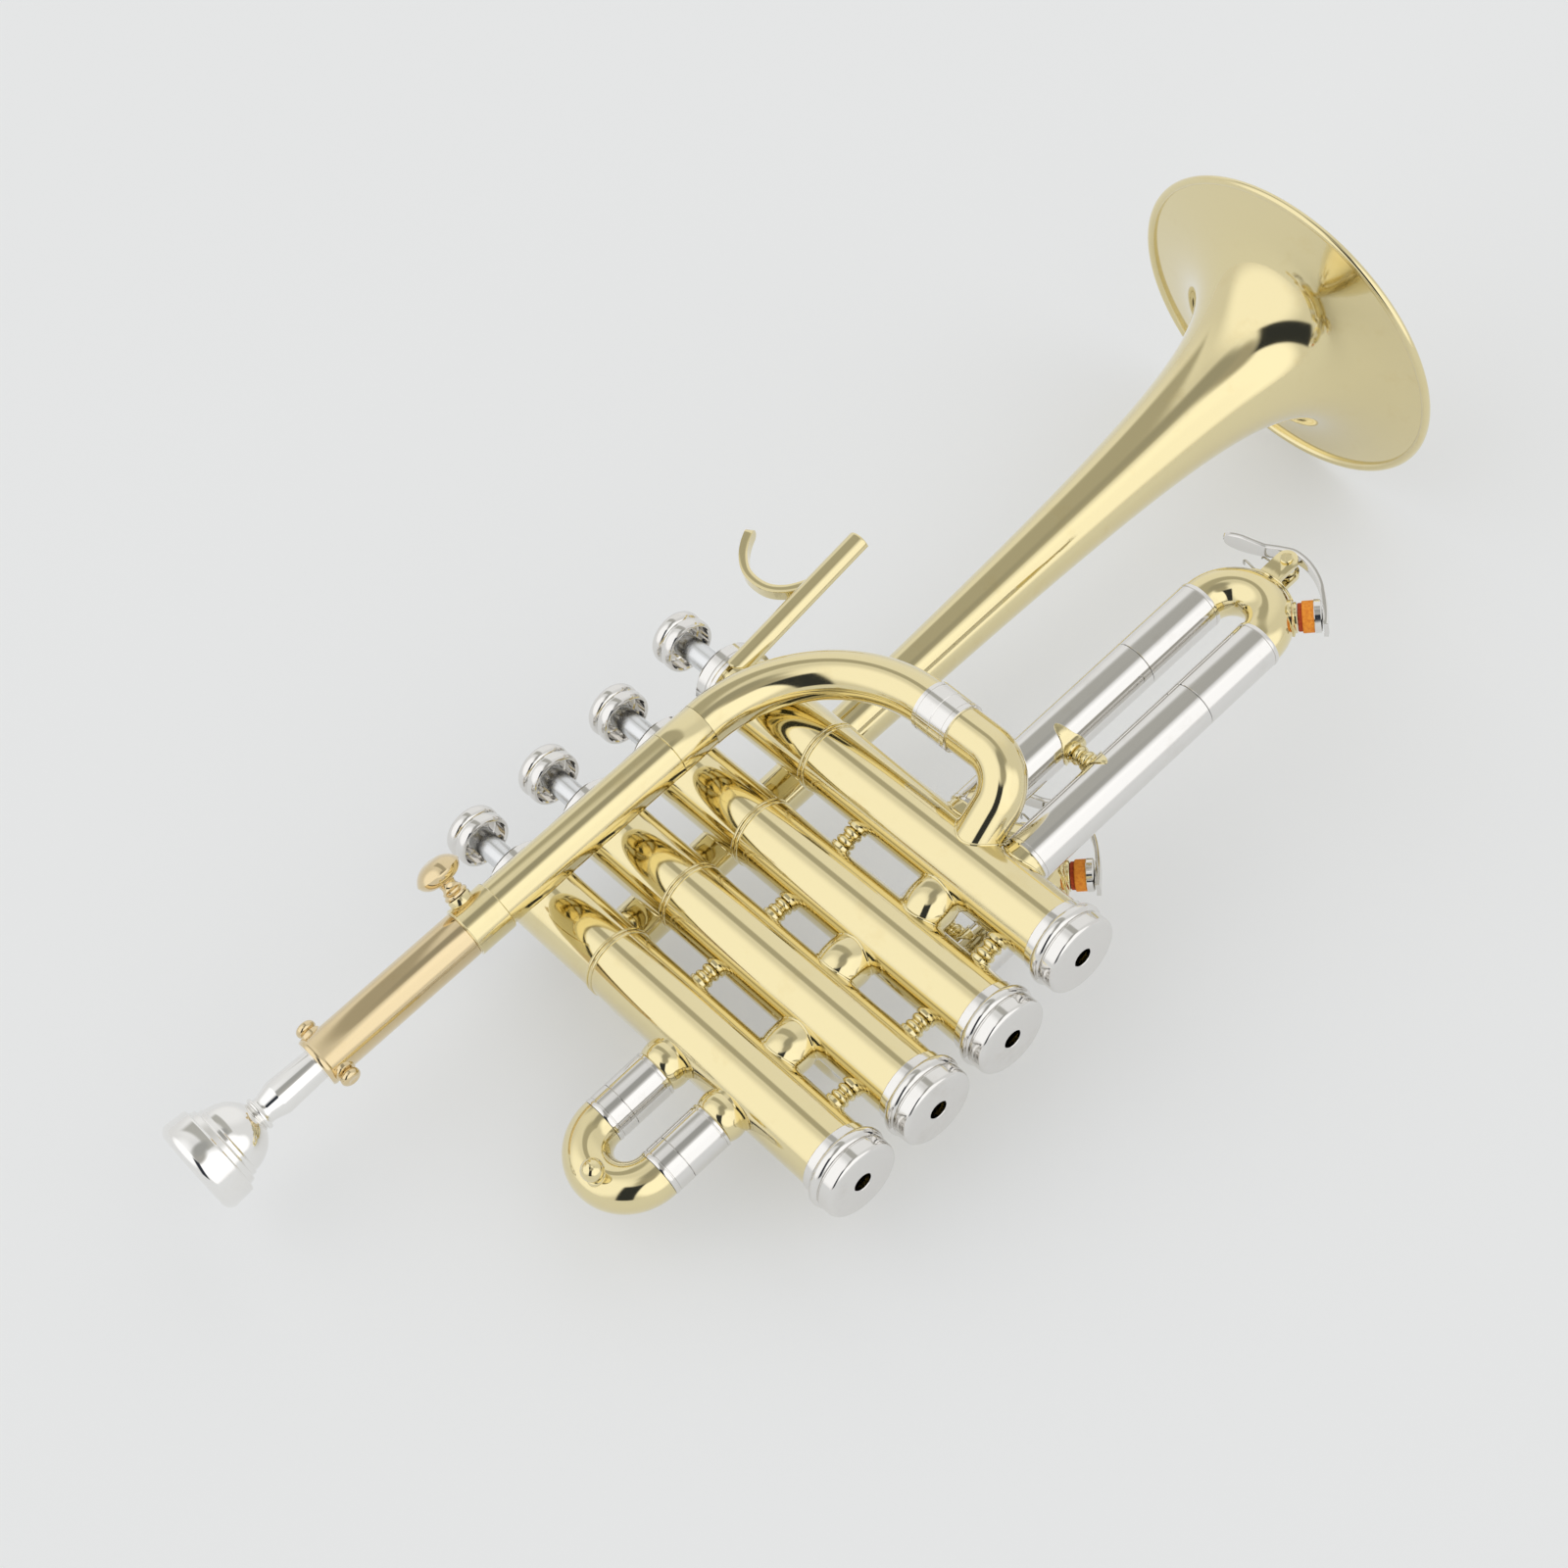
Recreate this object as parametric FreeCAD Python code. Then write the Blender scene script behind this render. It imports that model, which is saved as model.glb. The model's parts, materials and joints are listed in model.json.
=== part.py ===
"""A four-valve piccolo trumpet, lying on its left side as it was set down.

It is modelled upright first: X to the player's right, Y from the mouthpiece to the bell and Z up
through the finger buttons, with zero on the first valve's axis in the face of its bottom cap.
At the end every piece is turned over together, on to the three round places that it lies on.
"""
import FreeCAD, Part
import math
import os

V = FreeCAD.Vector
ZERO = V()
X, Y, Z = V(1, 0, 0), V(0, 1, 0), V(0, 0, 1)

# Clearances and overruns
running_gap = 0.03      # piston in its casing
sliding_gap = 0.05      # slide leg in its sleeve, stem in its cap
solder_gap = 0.02       # between pieces that are screwed or soldered into each other
seat_gap = 0.1          # between faces of two bodies that meet
loose_gap = 0.3         # between moving pieces that pass or stop at each other
overrun = 1.0           # how far a cut reaches past what it cuts
speck = 0.0001          # shorter than any real edge
gap_step = 0.15         # between the points that a coil's gaps are measured on
full_turn_deg = 360.0
half_turn_deg = 180.0

# Tubing
bore_r = 5.7
tube_r = 6.2
stub_r = 6.5
leg_r = 6.0

# Valve block
valve_count = 4
valve_spacing = 26.0
valve_4_aside = 6.0
casing_r = 10.0
thread_r = 9.4
casing_bottom = 10.5
casing_top = 130.0
thread_bottom = 4.0
thread_top = 133.8
bead_height = 94.2
bead_r = 10.35
bead_width = 0.7
bead_pitch = 1.3

# Bottom cap
cap_r = 12.0
cap_face_r = 10.8
cap_collar_r = 11.0
cap_floor = 1.5
cap_vent_r = 2.7
cap_step_height = 2.4
cap_round = 0.6
cap_knurl_top = 7.6
cap_neck_top = 8.4

# Top cap
top_cap_r = 10.8
top_cap_ledge_r = 11.2
top_cap_ledge = 2.6
top_cap_height = 8.2
top_cap_dome = 2.0
top_cap_dome_share = 0.33
top_cap_dome_r = 6.4
top_cap_roof = 2.2
felt_thickness = 2.0
felt_side_gap = 0.3

# Piston, guide and spring
piston_r = 8.3
piston_wall = 1.0
piston_bottom = 14.0
piston_top = 92.0
barrel_r = 7.6
barrel_roof = 1.5
stroke = 10.0
stem_r = 3.5
stem_top = 153.9
screw_r = 1.6
screw_length = 3.0
port_r = 3.0
port_wall = 0.6
guide_thickness = 2.4
guide_wing = 3.0
guide_reach = 9.1
guide_hole_r = 2.0
spring_wire_r = 0.4
spring_turns = 10
coil_steps = 4

# Finger button
button_r = 8.2
button_rim = 151.0
button_rim_r = 7.6
button_skirt_height = 0.9
button_skirt_r = 8.1
button_shoulder_r = 8.1
button_groove_r = 7.6
button_groove = 154.6
button_groove_width = 0.6
button_top = 159.4
button_crown_r = 5.6
button_crown_rise = 0.8
button_edge = 0.9
button_wall = 1.2

# Passages between the valves, and the turned stays that tie the casings
crossover_heights = [41.0, 48.0, 42.0]
crossover_end_r = 6.1
crossover_middle_r = 6.8
stay_heights = [21.0, 73.0]
stay_flange_r = 3.3
stay_flange = 0.8
stay_sink = 1.2
stay_ball_r = 2.3
stay_neck_r = 1.3
bell_stay_valves = [2, 3]

# Bell, with its rolled rim wire, and the crook that leads into the first valve
bell_x = -20.0
bell_rim_y = 280.3
bell_rim_z = 116.3
bell_slope = 0.0173
bell_rim_r = 53.8
bell_wire_r = 1.3
bell_tube_r = 6.6
bell_wall = 0.5
bell_flare_length = 4.0
bell_flare_start = 72.0
bell_steps = 16
bell_step_power = 2.6
crook_bend = 15.0
crook_elbow = 9.5
crook_joint = 16.0
crook_ferrule_r = 7.2
crook_ferrule_length = 9.0
crook_collar_length = 3.0

# Leadpipe: sliding shank, clamp, tube, big bend, ferrule and elbow
lead_x = 22.8
lead_z = 117.3
lead_r = 6.65
shank_inner_r = 6.0
shank_mouth = -75.6
shank_shoulder = -25.9
shank_end = 10.0
receiver_lip_r = 7.8
receiver_lip = 2.2
receiver_r = 4.3
receiver_end_r = 3.98
receiver_depth = 26.0
knob_ball_r = 2.2
knob_collar_r = 2.9
knob_collar = 0.8
knob_height = 3.4
knob_turns_deg = [75.0, -100.0]
clamp_start = -25.6
clamp_end = -14.5
clamp_r = 7.3
clamp_boss_r = 4.2
clamp_boss_reach = 9.2
clamp_screw_y = -21.0
clamp_screw_turn_deg = 45.0
clamp_screw_r = 1.8
clamp_foot_r = 3.9
clamp_foot = 1.2
clamp_neck_r = 2.2
clamp_neck_reach = 15.4
clamp_head_r = 6.6
clamp_head = 4.6
clamp_head_round = 1.4
lead_joint = 45.7
lead_bend = 42.8
lead_leg_y = 100.9
elbow_height = 42.5
elbow_bend = 12.0
elbow_run = 7.8
ferrule_length = 12.0
ferrule_bottom = elbow_height + elbow_bend + elbow_run
ferrule_top = ferrule_bottom + ferrule_length
ferrule_r = 7.2
elbow_end_y = 81.0
elbow_end_bend = 7.5

# Mouthpiece
mouth_rim_y = -115.5
mouth_rim_r = 13.4
mouth_rim_length = 8.4
mouth_rim_round = 1.5
mouth_cup_r = 8.2
mouth_cup_depth = 11.0
mouth_throat_r = 1.8
mouth_throat_length = 3.0
mouth_step_r = 10.5
mouth_step_length = 3.2
mouth_bowl_r = 9.8
mouth_bowl_length = 9.0
mouth_neck_r = 4.1
mouth_bead_r = 4.8
mouth_bead = 1.2
mouth_bowl_bulge_share = 0.72
mouth_tip_gap = 1.0
mouth_backbore_r = 3.1

# First slide, towards the player
slide_1_heights = [62.0, 40.1]
slide_1_stub = 13.0
slide_1_seam = 26.5
slide_1_bow_y = 33.0
slide_1_knob_y = -44.8
slide_1_knob_z = 48.2
slide_1_knob_reach = 10.0
slide_1_knob_ball_r = 3.1
slide_1_knob_neck_r = 1.4
slide_1_knob_base_r = 2.6

# The crook's port, between those of the first slide
crook_port_drop = 8.0
crook_height = slide_1_heights[0] - crook_port_drop

# Second slide, to the left
slide_2_heights = [52.5, 35.5]
slide_2_stub = 11.0
slide_2_seam = 16.6
slide_2_bow_x = 17.6

# Third slide, forward beside the fourth valve
slide_3_x = -20.0
slide_3_heights = [55.5, 34.5]
slide_3_elbow = 9.0
slide_3_seam = 80.0
slide_3_bow_y = 90.3

# Fourth slide, forward from its valve
slide_4_heights = [51.6, 31.0]
slide_4_stub = 11.0
slide_4_seam = 151.2
slide_4_bow_y = 177.0
slide_4_leg_start = 95.0
slide_4_stay_y = 121.0
slide_3_stay_y = 70.0
slide_4_sleeve_r = 7.0
slide_sleeve_r = 6.7

# Water keys, in the plane of their slide bow: along the slide, then up
key_pivot = (23.0, 0.6)
key_hub_r = 2.2
key_hub_width = 3.0
key_screw_r = 0.9
key_screw_head_r = 1.7
key_screw_head = 0.7
key_post_width = 7.0
key_post_start = 14.5
key_post_height = 6.2
key_slot_depth = 3.4
key_thickness = 1.3
key_route = [(20.0, 20.7), (23.4, 9.5), (25.6, 4.9), (27.2, 1.0), (25.9, -4.6), (23.4, -10.4),
             (18.3, -16.4), (13.3, -20.6)]
key_saddle = 3
key_thumb_width = 5.6
key_arm_width = 4.6
key_cup_angle_deg = -46.0
key_cup_r = 4.5
key_cup = 1.5
key_cork_r = 4.3
key_cork_foot_r = 3.8
key_cork_foot = 1.2
key_cork = 4.8
key_nipple_r = 4.2
key_nipple_hole_r = 2.0
key_nipple_top = 17.5
key_nipple_start = 13.5
key_spring_wire_r = 0.3
key_spring_gap = 0.45
key_spring_turns = 3

# Hook for the little finger
hook_x = 18.0
hook_rod_start = (75.5, 125.7)
hook_rod_end = (127.8, 131.0)
hook_rod_r = 3.4
hook_rod_wall = 0.9
hook_wire_r = 1.6
hook_route = [(111.0, 131.6), (100.2, 134.9), (100.0, 151.9), (111.8, 158.8)]
hook_bends = [7.1, 12.0]

# The search for the way it lies: a first lean, and how often it is bettered
lean_share = 0.2
resting_rounds = 40


def valve_foot(number):
    """The place on a valve's axis in the face of its bottom cap; valves count from 0."""
    aside = valve_4_aside if number == valve_count - 1 else 0
    return V(aside, number * valve_spacing, 0)


def cylinder(start, end, radius):
    return Part.makeCylinder(radius, (end - start).Length, start, end - start)


def ring(start, end, outer_r, inner_r):
    return cylinder(start, end, outer_r).cut(cylinder(start, end, inner_r))


def turned(outline, start=ZERO, direction=Z):
    """A solid of revolution. The outline gives (along, radius) points; four numbers are an arc,
    its middle point and then its end."""
    edges = []
    here = outline[0]
    for item in list(outline[1:]) + [outline[0]]:
        there = tuple(item[-2:])
        first = V(here[1], 0, here[0])
        last = V(there[1], 0, there[0])
        if len(item) > len(there):
            edges.append(Part.Arc(first, V(item[1], 0, item[0]), last).toShape())
        elif (last - first).Length > speck:
            edges.append(Part.LineSegment(first, last).toShape())
        here = there
    solid = Part.Face(Part.Wire(edges)).revolve(ZERO, Z, full_turn_deg)
    solid.Placement = FreeCAD.Placement(start, FreeCAD.Rotation(Z, direction))
    return solid


def route_wire(corners, bends):
    """A route of straight runs joined by tangent arcs of the given radii."""
    edges = []
    here = corners[0]
    for before, corner, after, bend in zip(corners, corners[1:], corners[2:], bends):
        back = (before - corner).normalize()
        ahead = (after - corner).normalize()
        half = back.getAngle(ahead) / 2
        start = corner + back * (bend / math.tan(half))
        end = corner + ahead * (bend / math.tan(half))
        middle = corner + (back + ahead).normalize() * (bend / math.sin(half) - bend)
        if (start - here).Length > speck:
            edges.append(Part.LineSegment(here, start).toShape())
        edges.append(Part.Arc(start, middle, end).toShape())
        here = end
    if (corners[-1] - here).Length > speck:
        edges.append(Part.LineSegment(here, corners[-1]).toShape())
    return Part.Wire(edges)


def swept(wire, start, direction, radius):
    circle = Part.Wire(Part.Circle(start, direction, radius).toShape())
    return wire.makePipeShell([circle], True, False)


def rod(corners, bends, radius):
    wire = route_wire(corners, bends)
    return swept(wire, corners[0], corners[1] - corners[0], radius)


def pipe(corners, bends, outer_r, inner_r):
    return rod(corners, bends, outer_r).cut(rod(corners, bends, inner_r))


def coil_edges(points, tangents):
    """Two tangent arcs between each pair of points, so that the wire has no kink."""
    edges = []
    for p, q, s, t in zip(points, points[1:], tangents, tangents[1:]):
        span = q - p
        along = span.dot(s + t)
        square = 2 * (1 - s.dot(t))
        reach = (math.sqrt(along ** 2 + square * span.dot(span)) - along) / square
        knees = (p + s * reach, q - t * reach)
        joint = (knees[0] + knees[1]) / 2
        for first, knee, last in ((p, knees[0], joint), (joint, knees[1], q)):
            middle = (first + last) / 2
            chord = (last - first).Length / 2
            rise = (knee - middle).Length
            sag = chord * math.tan(math.atan2(rise, chord) / 2)
            top = middle + (knee - middle).normalize() * sag
            edges.append(Part.Arc(first, top, last).toShape())
    return edges


def helix(start, axis, side, radius, pitch, turns):
    """Points and tangents of a coil round an axis, from its start on the given side."""
    other = axis.cross(side)
    points = []
    tangents = []
    for step in range(int(turns * coil_steps) + 1):
        angle = 2 * math.pi * step / coil_steps
        out = side * math.cos(angle) + other * math.sin(angle)
        round_way = other * math.cos(angle) - side * math.sin(angle)
        points.append(start + out * radius + axis * (pitch * step / coil_steps))
        tangents.append((round_way * (2 * math.pi * radius) + axis * pitch).normalize())
    return points, tangents


def least_gap(wire, wire_r, coil_r):
    """The smallest gap between two turns of a coil, measured on points of its centre line."""
    points = wire.discretize(Distance=gap_step)
    skip = int(math.pi * coil_r / gap_step)
    nearest = min((p - q).Length for i, p in enumerate(points) for q in points[i + skip:])
    return nearest - 2 * wire_r


def bow(middle, axis, out, bow_r):
    """A slide's half-round bow of tube; axis is the way from one leg to the other."""
    start = middle + axis * bow_r
    way = axis.cross(out)
    solids = []
    for radius in (tube_r, bore_r):
        face = Part.Face(Part.Wire(Part.Circle(start, out, radius).toShape()))
        solids.append(face.revolve(middle, way, half_turn_deg))
    return solids[0].cut(solids[1])


def bow_core(middle, axis, out, bow_r):
    """The same bow with its bore filled, for fitting what stands on it."""
    face = Part.Face(Part.Wire(Part.Circle(middle + axis * bow_r, out, tube_r).toShape()))
    return face.revolve(middle, axis.cross(out), half_turn_deg)


def joined(solids):
    whole = solids[0].fuse(list(solids[1:]))
    return whole.removeSplitter()


# What each valve's ports face, and how high they lie
def ports(number):
    heading = [Y, Y, valve_foot(3) - valve_foot(2)]
    found = []
    if number < valve_count - 1:
        found.append((heading[number], crossover_heights[number]))
    if number > 0:
        found.append((heading[number - 1] * -1, crossover_heights[number - 1]))
    slide_way = [Y * -1, X * -1, X * -1, Y][number]
    slide_heights = [slide_1_heights, slide_2_heights, slide_3_heights, slide_4_heights][number]
    found += [(slide_way, height) for height in slide_heights]
    if number == 0:
        found.append((X * -1, crook_height))
    if number == valve_count - 1:
        found.append((elbow_corner() - valve_foot(number) - Z * elbow_height, elbow_height))
    return found


def elbow_corner():
    return V(lead_x, elbow_end_y, elbow_height)


def casing_stubs(number):
    """The short tubes brazed to a casing, that its slide's sleeves or legs start from."""
    foot = valve_foot(number)
    routes = []
    if number == 0:
        for height in slide_1_heights:
            routes.append(([foot + Z * height, foot + Z * height - Y * slide_1_stub], []))
    if number == 1:
        for height in slide_2_heights:
            routes.append(([foot + Z * height, foot + Z * height - X * slide_2_stub], []))
    if number == 2:
        for height in slide_3_heights:
            start = foot + Z * height
            corner = V(slide_3_x, start.y, height)
            routes.append(([start, corner, corner + Y * slide_3_elbow], [slide_3_elbow]))
    if number == 3:
        for height in slide_4_heights:
            start = foot + Z * height
            routes.append(([start, start + Y * slide_4_stub], []))
    return routes


def casing(number):
    foot = valve_foot(number)
    body = [cylinder(foot + Z * casing_bottom, foot + Z * casing_top, casing_r),
            cylinder(foot + Z * thread_bottom, foot + Z * thread_top, thread_r)]
    for side in (-1, 1):
        middle = foot + Z * (bead_height + side * bead_pitch / 2)
        body.append(cylinder(middle - Z * bead_width / 2, middle + Z * bead_width / 2, bead_r))
    stubs = casing_stubs(number)
    body += [rod(route, bends, stub_r) for route, bends in stubs]
    shell = joined(body)
    bore = cylinder(foot + Z * (thread_bottom - overrun), foot + Z * (thread_top + overrun),
                    piston_r + running_gap)
    cuts = [bore] + [rod(route, bends, bore_r) for route, bends in stubs]
    for way, height in ports(number):
        start = foot + Z * height
        cuts.append(cylinder(start, start + way.normalize() * (casing_r + overrun), bore_r))
    notch = Part.makeBox(2 * (guide_reach + seat_gap), guide_wing + 2 * seat_gap,
                         guide_thickness + 2 * seat_gap)
    notch.translate(foot + V(-guide_reach - seat_gap, -guide_wing / 2 - seat_gap,
                             guide_bottom() - seat_gap))
    cuts.append(notch)
    return shell.cut(cuts)


def guide_bottom():
    return piston_top + loose_gap


def valve_guide(number):
    """The star that keeps a piston from turning: a disc with two wings in the casing's notches."""
    foot = valve_foot(number) + Z * guide_bottom()
    disc = cylinder(foot, foot + Z * guide_thickness, barrel_r - piston_wall - loose_gap)
    wings = Part.makeBox(2 * guide_reach, guide_wing, guide_thickness)
    wings.translate(foot - V(guide_reach, guide_wing / 2, 0))
    hole = cylinder(foot - Z * overrun, foot + Z * (guide_thickness + overrun), guide_hole_r)
    return joined([disc, wings]).cut(hole)


def barrel_top():
    return casing_top + top_cap_height - top_cap_roof - felt_thickness - loose_gap


def piston(number):
    """Piston with its cross tubes, the slotted spring barrel above it, and the stem."""
    foot = valve_foot(number)
    body = ring(foot + Z * piston_bottom, foot + Z * piston_top, piston_r, piston_r - piston_wall)
    deck = cylinder(foot + Z * (piston_top - piston_wall), foot + Z * piston_top, piston_r)
    barrel = ring(foot + Z * piston_top, foot + Z * barrel_top(), barrel_r, barrel_r - piston_wall)
    roof = cylinder(foot + Z * (barrel_top() - barrel_roof), foot + Z * barrel_top(), barrel_r)
    stem = cylinder(foot + Z * (barrel_top() - barrel_roof), foot + Z * stem_top, stem_r)
    screw = cylinder(foot + Z * stem_top, foot + Z * (stem_top + screw_length), screw_r)
    skin = cylinder(foot + Z * piston_bottom, foot + Z * piston_top, piston_r)
    tubes = []
    bores = []
    for start, end in piston_passages(number):
        tubes.append(cylinder(start, end, port_r + port_wall).common(skin))
        bores.append(cylinder(start, end, port_r))
    slot = Part.makeBox(2 * (barrel_r + overrun), guide_wing + 2 * loose_gap,
                        guide_thickness + stroke + 2 * loose_gap)
    slot.translate(foot - V(barrel_r + overrun, guide_wing / 2 + loose_gap, -piston_top))
    return joined([body, deck, barrel, roof, stem, screw] + tubes).cut(bores + [slot])


def piston_passages(number):
    """The straight passages through a piston, one a port pair, each reaching past its skin."""
    foot = valve_foot(number)
    found = ports(number)
    slide = [port for port in found if port[1] in slide_ports(number)]
    other = [port for port in found if port not in slide]
    pairs = [(other[0], other[-1], 0), (other[0], slide[1], stroke), (slide[0], other[-1], stroke)]
    passages = []
    for (way_a, height_a), (way_b, height_b), lift in pairs:
        a = foot + way_a.normalize() * (piston_r + overrun) + Z * (height_a + lift)
        b = foot + way_b.normalize() * (piston_r + overrun) + Z * (height_b + lift)
        passages.append((a, b))
    return passages


def slide_ports(number):
    return [slide_1_heights, slide_2_heights, slide_3_heights, slide_4_heights][number]


def valve_spring(number):
    """The coil between the guide, which stays, and the roof of the barrel, which moves."""
    foot = valve_foot(number)
    low = guide_bottom() + guide_thickness + spring_wire_r + seat_gap
    high = barrel_top() - barrel_roof - spring_wire_r - seat_gap
    mean_r = barrel_r - piston_wall - loose_gap - 2 * spring_wire_r
    pitch = (high - low) / spring_turns
    points, tangents = helix(foot + Z * low, Z, X, mean_r, pitch, spring_turns)
    wire = Part.Wire(coil_edges(points, tangents))
    return swept(wire, points[0], tangents[0], spring_wire_r)


def bottom_cap(number):
    thread = thread_r + solder_gap
    outline = [(0, cap_vent_r), (0, cap_face_r - cap_round), (cap_round, cap_face_r),
               (cap_step_height, cap_face_r), (cap_step_height, cap_r - cap_round),
               (cap_step_height + cap_round, cap_r), (cap_knurl_top, cap_r),
               (cap_neck_top, cap_collar_r), (casing_bottom, cap_collar_r),
               (casing_bottom, thread), (cap_floor, thread), (cap_floor, cap_vent_r)]
    return turned(outline, valve_foot(number))


def top_cap(number):
    low = casing_top
    top = casing_top + top_cap_height
    ledge = casing_top + top_cap_ledge
    thread = thread_r + solder_gap
    outline = [(low, thread), (low, top_cap_ledge_r), (ledge, top_cap_ledge_r),
               (ledge, top_cap_r), (top - top_cap_dome, top_cap_r),
               (top - top_cap_dome * top_cap_dome_share, (top_cap_r + top_cap_dome_r) / 2 + cap_round,
                top, top_cap_dome_r),
               (top, stem_r + sliding_gap), (top - top_cap_roof, stem_r + sliding_gap),
               (top - top_cap_roof, thread)]
    return turned(outline, valve_foot(number))


def cap_felt(number):
    roof = valve_foot(number) + Z * (casing_top + top_cap_height - top_cap_roof)
    return ring(roof - Z * felt_thickness, roof, thread_r - felt_side_gap, stem_r + loose_gap)


def button(number):
    foot = valve_foot(number)
    crown = button_top - button_crown_rise
    skirt = button_rim + button_skirt_height
    groove_top = button_groove + button_groove_width
    outline = [(button_rim, button_rim_r - button_wall), (button_rim, button_rim_r),
               (skirt, button_skirt_r), (stem_top, button_shoulder_r),
               (button_groove, button_shoulder_r), (button_groove, button_groove_r),
               (groove_top, button_groove_r), (groove_top + button_edge, button_r),
               (crown - button_edge, button_r), (crown, button_r - button_edge),
               (crown, button_crown_r), (button_top, 0), (stem_top + screw_length, 0),
               (stem_top + screw_length, screw_r + solder_gap), (stem_top, screw_r + solder_gap),
               (stem_top, button_skirt_r - 2 * button_wall)]
    return turned(outline, foot)


def crossover(number):
    """The short swelling tube between two casings."""
    start = valve_foot(number) + Z * crossover_heights[number]
    end = valve_foot(number + 1) + Z * crossover_heights[number]
    length = (end - start).Length
    outer = turned([(0, 0), (0, crossover_end_r),
                    (length / 2, crossover_middle_r, length, crossover_end_r), (length, 0)],
                   start, end - start)
    bore = cylinder(start, end, bore_r)
    return outer.cut([bore, casing_core(number), casing_core(number + 1)])


def casing_core(number):
    foot = valve_foot(number)
    return cylinder(foot + Z * casing_bottom, foot + Z * casing_top, casing_r)


def stay(start, end, from_r, to_r, cores):
    """A turned stay with two balls, between two round tubes, trimmed to both."""
    length = (end - start).Length
    a = from_r - stay_sink
    b = length - to_r + stay_sink
    gap = length - from_r - to_r
    inner = from_r + stay_flange
    outer = length - to_r - stay_flange
    middle = from_r + gap / 2
    ball = (outer - inner) / 4
    outline = [(a, 0), (a, stay_flange_r), (inner, stay_flange_r), (inner, stay_neck_r),
               (inner + ball, stay_ball_r, middle, stay_neck_r),
               (outer - ball, stay_ball_r, outer, stay_neck_r),
               (outer, stay_flange_r), (b, stay_flange_r), (b, 0)]
    return turned(outline, start, end - start).cut(cores)


def body_stays():
    """Casing to casing, slide tube to slide tube, and casing to bell."""
    stays = []
    for number in range(valve_count - 1):
        for height in stay_heights:
            start = valve_foot(number) + Z * height
            end = valve_foot(number + 1) + Z * height
            cores = [casing_core(number), casing_core(number + 1)]
            stays.append(stay(start, end, casing_r, casing_r, cores))
    slides = ((slide_3_x, slide_3_stay_y, slide_3_heights, slide_sleeve_r),
              (valve_4_aside, slide_4_stay_y, slide_4_heights, slide_4_sleeve_r))
    for x, y, heights, radius in slides:
        high, low = V(x, y, heights[0]), V(x, y, heights[1])
        cores = [cylinder(place - Y * radius, place + Y * radius, radius) for place in (low, high)]
        stays.append(stay(low, high, radius, radius, cores))
    for number in bell_stay_valves:
        foot = valve_foot(number)
        end = bell_axis(foot.y)
        start = V(foot.x, foot.y, end.z)
        radius = max(bell_tube_r, bell_radius(bell_rim_y - foot.y - stay_flange_r))
        cores = [casing_core(number), cylinder(bell_axis(foot.y - casing_r),
                                               bell_axis(foot.y + casing_r), radius)]
        stays.append(stay(start, end, casing_r, radius, cores))
    return stays


def slide_sets():
    """Each slide: where its legs leave from, the way it pulls, and its lengths along that way."""
    return [
        dict(foot=valve_foot(0), way=Y * -1, heights=slide_1_heights, start=slide_1_stub,
             seam=slide_1_seam, bow=slide_1_bow_y, leg=slide_1_stub, radius=slide_sleeve_r),
        dict(foot=valve_foot(1), way=X * -1, heights=slide_2_heights, start=slide_2_stub,
             seam=slide_2_seam, bow=slide_2_bow_x, leg=slide_2_stub, radius=slide_sleeve_r),
        dict(foot=V(slide_3_x, 0, 0), way=Y, heights=slide_3_heights,
             start=valve_foot(2).y + slide_3_elbow, seam=slide_3_seam, bow=slide_3_bow_y,
             leg=valve_foot(2).y + slide_3_elbow, radius=slide_sleeve_r),
        dict(foot=V(valve_4_aside, 0, 0), way=Y, heights=slide_4_heights,
             start=valve_foot(3).y + slide_4_stub, seam=slide_4_seam, bow=slide_4_bow_y,
             leg=slide_4_leg_start, radius=slide_4_sleeve_r),
    ]


def slide_sleeves():
    """The fixed outer sleeves that the slides' legs run in."""
    sleeves = []
    for slide in slide_sets():
        for height in slide["heights"]:
            foot = slide["foot"] + Z * height
            sleeves.append(ring(foot + slide["way"] * slide["start"],
                                foot + slide["way"] * slide["seam"],
                                slide["radius"], leg_r + sliding_gap))
    return sleeves


def slide_legs(slide):
    """The pair of inner tubes that slide, with the outer end sleeves that carry the bow."""
    legs = []
    for height in slide["heights"]:
        foot = slide["foot"] + Z * height
        way = slide["way"]
        inner = cylinder(foot + way * (slide["leg"] + seat_gap), foot + way * slide["bow"], leg_r)
        outer = cylinder(foot + way * (slide["seam"] + seat_gap), foot + way * slide["bow"],
                         slide["radius"])
        bore = cylinder(foot + way * slide["leg"], foot + way * (slide["bow"] + overrun), bore_r)
        legs.append(joined([inner, outer]).cut(bore))
    return legs


def slide_bow(slide, filled=False):
    middle_height = sum(slide["heights"]) / 2
    middle = slide["foot"] + slide["way"] * slide["bow"] + Z * middle_height
    bow_r = (slide["heights"][0] - slide["heights"][1]) / 2
    make = bow_core if filled else bow
    return make(middle, Z, slide["way"], bow_r)


def slide_1_knob():
    start = V(0, slide_1_knob_y, slide_1_knob_z)
    ball = slide_1_knob_reach
    neck_end = ball - math.sqrt(slide_1_knob_ball_r ** 2 - slide_1_knob_neck_r ** 2)
    base = tube_r + stay_flange
    outline = [(0, 0), (0, slide_1_knob_base_r), (base, slide_1_knob_base_r),
               (base, slide_1_knob_neck_r), (neck_end, slide_1_knob_neck_r),
               (ball, slide_1_knob_ball_r, ball + slide_1_knob_ball_r, 0)]
    return turned(outline, start, X).cut(slide_bow(slide_sets()[0], True))


def crook_corners():
    """The bell tube's way back, down past the first valve and into its left side."""
    turn = V(bell_x, 0, bell_axis(0).z)
    low = V(bell_x, 0, crook_height)
    return [bell_axis(crook_joint), turn, low, V(0, 0, crook_height)]


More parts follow.
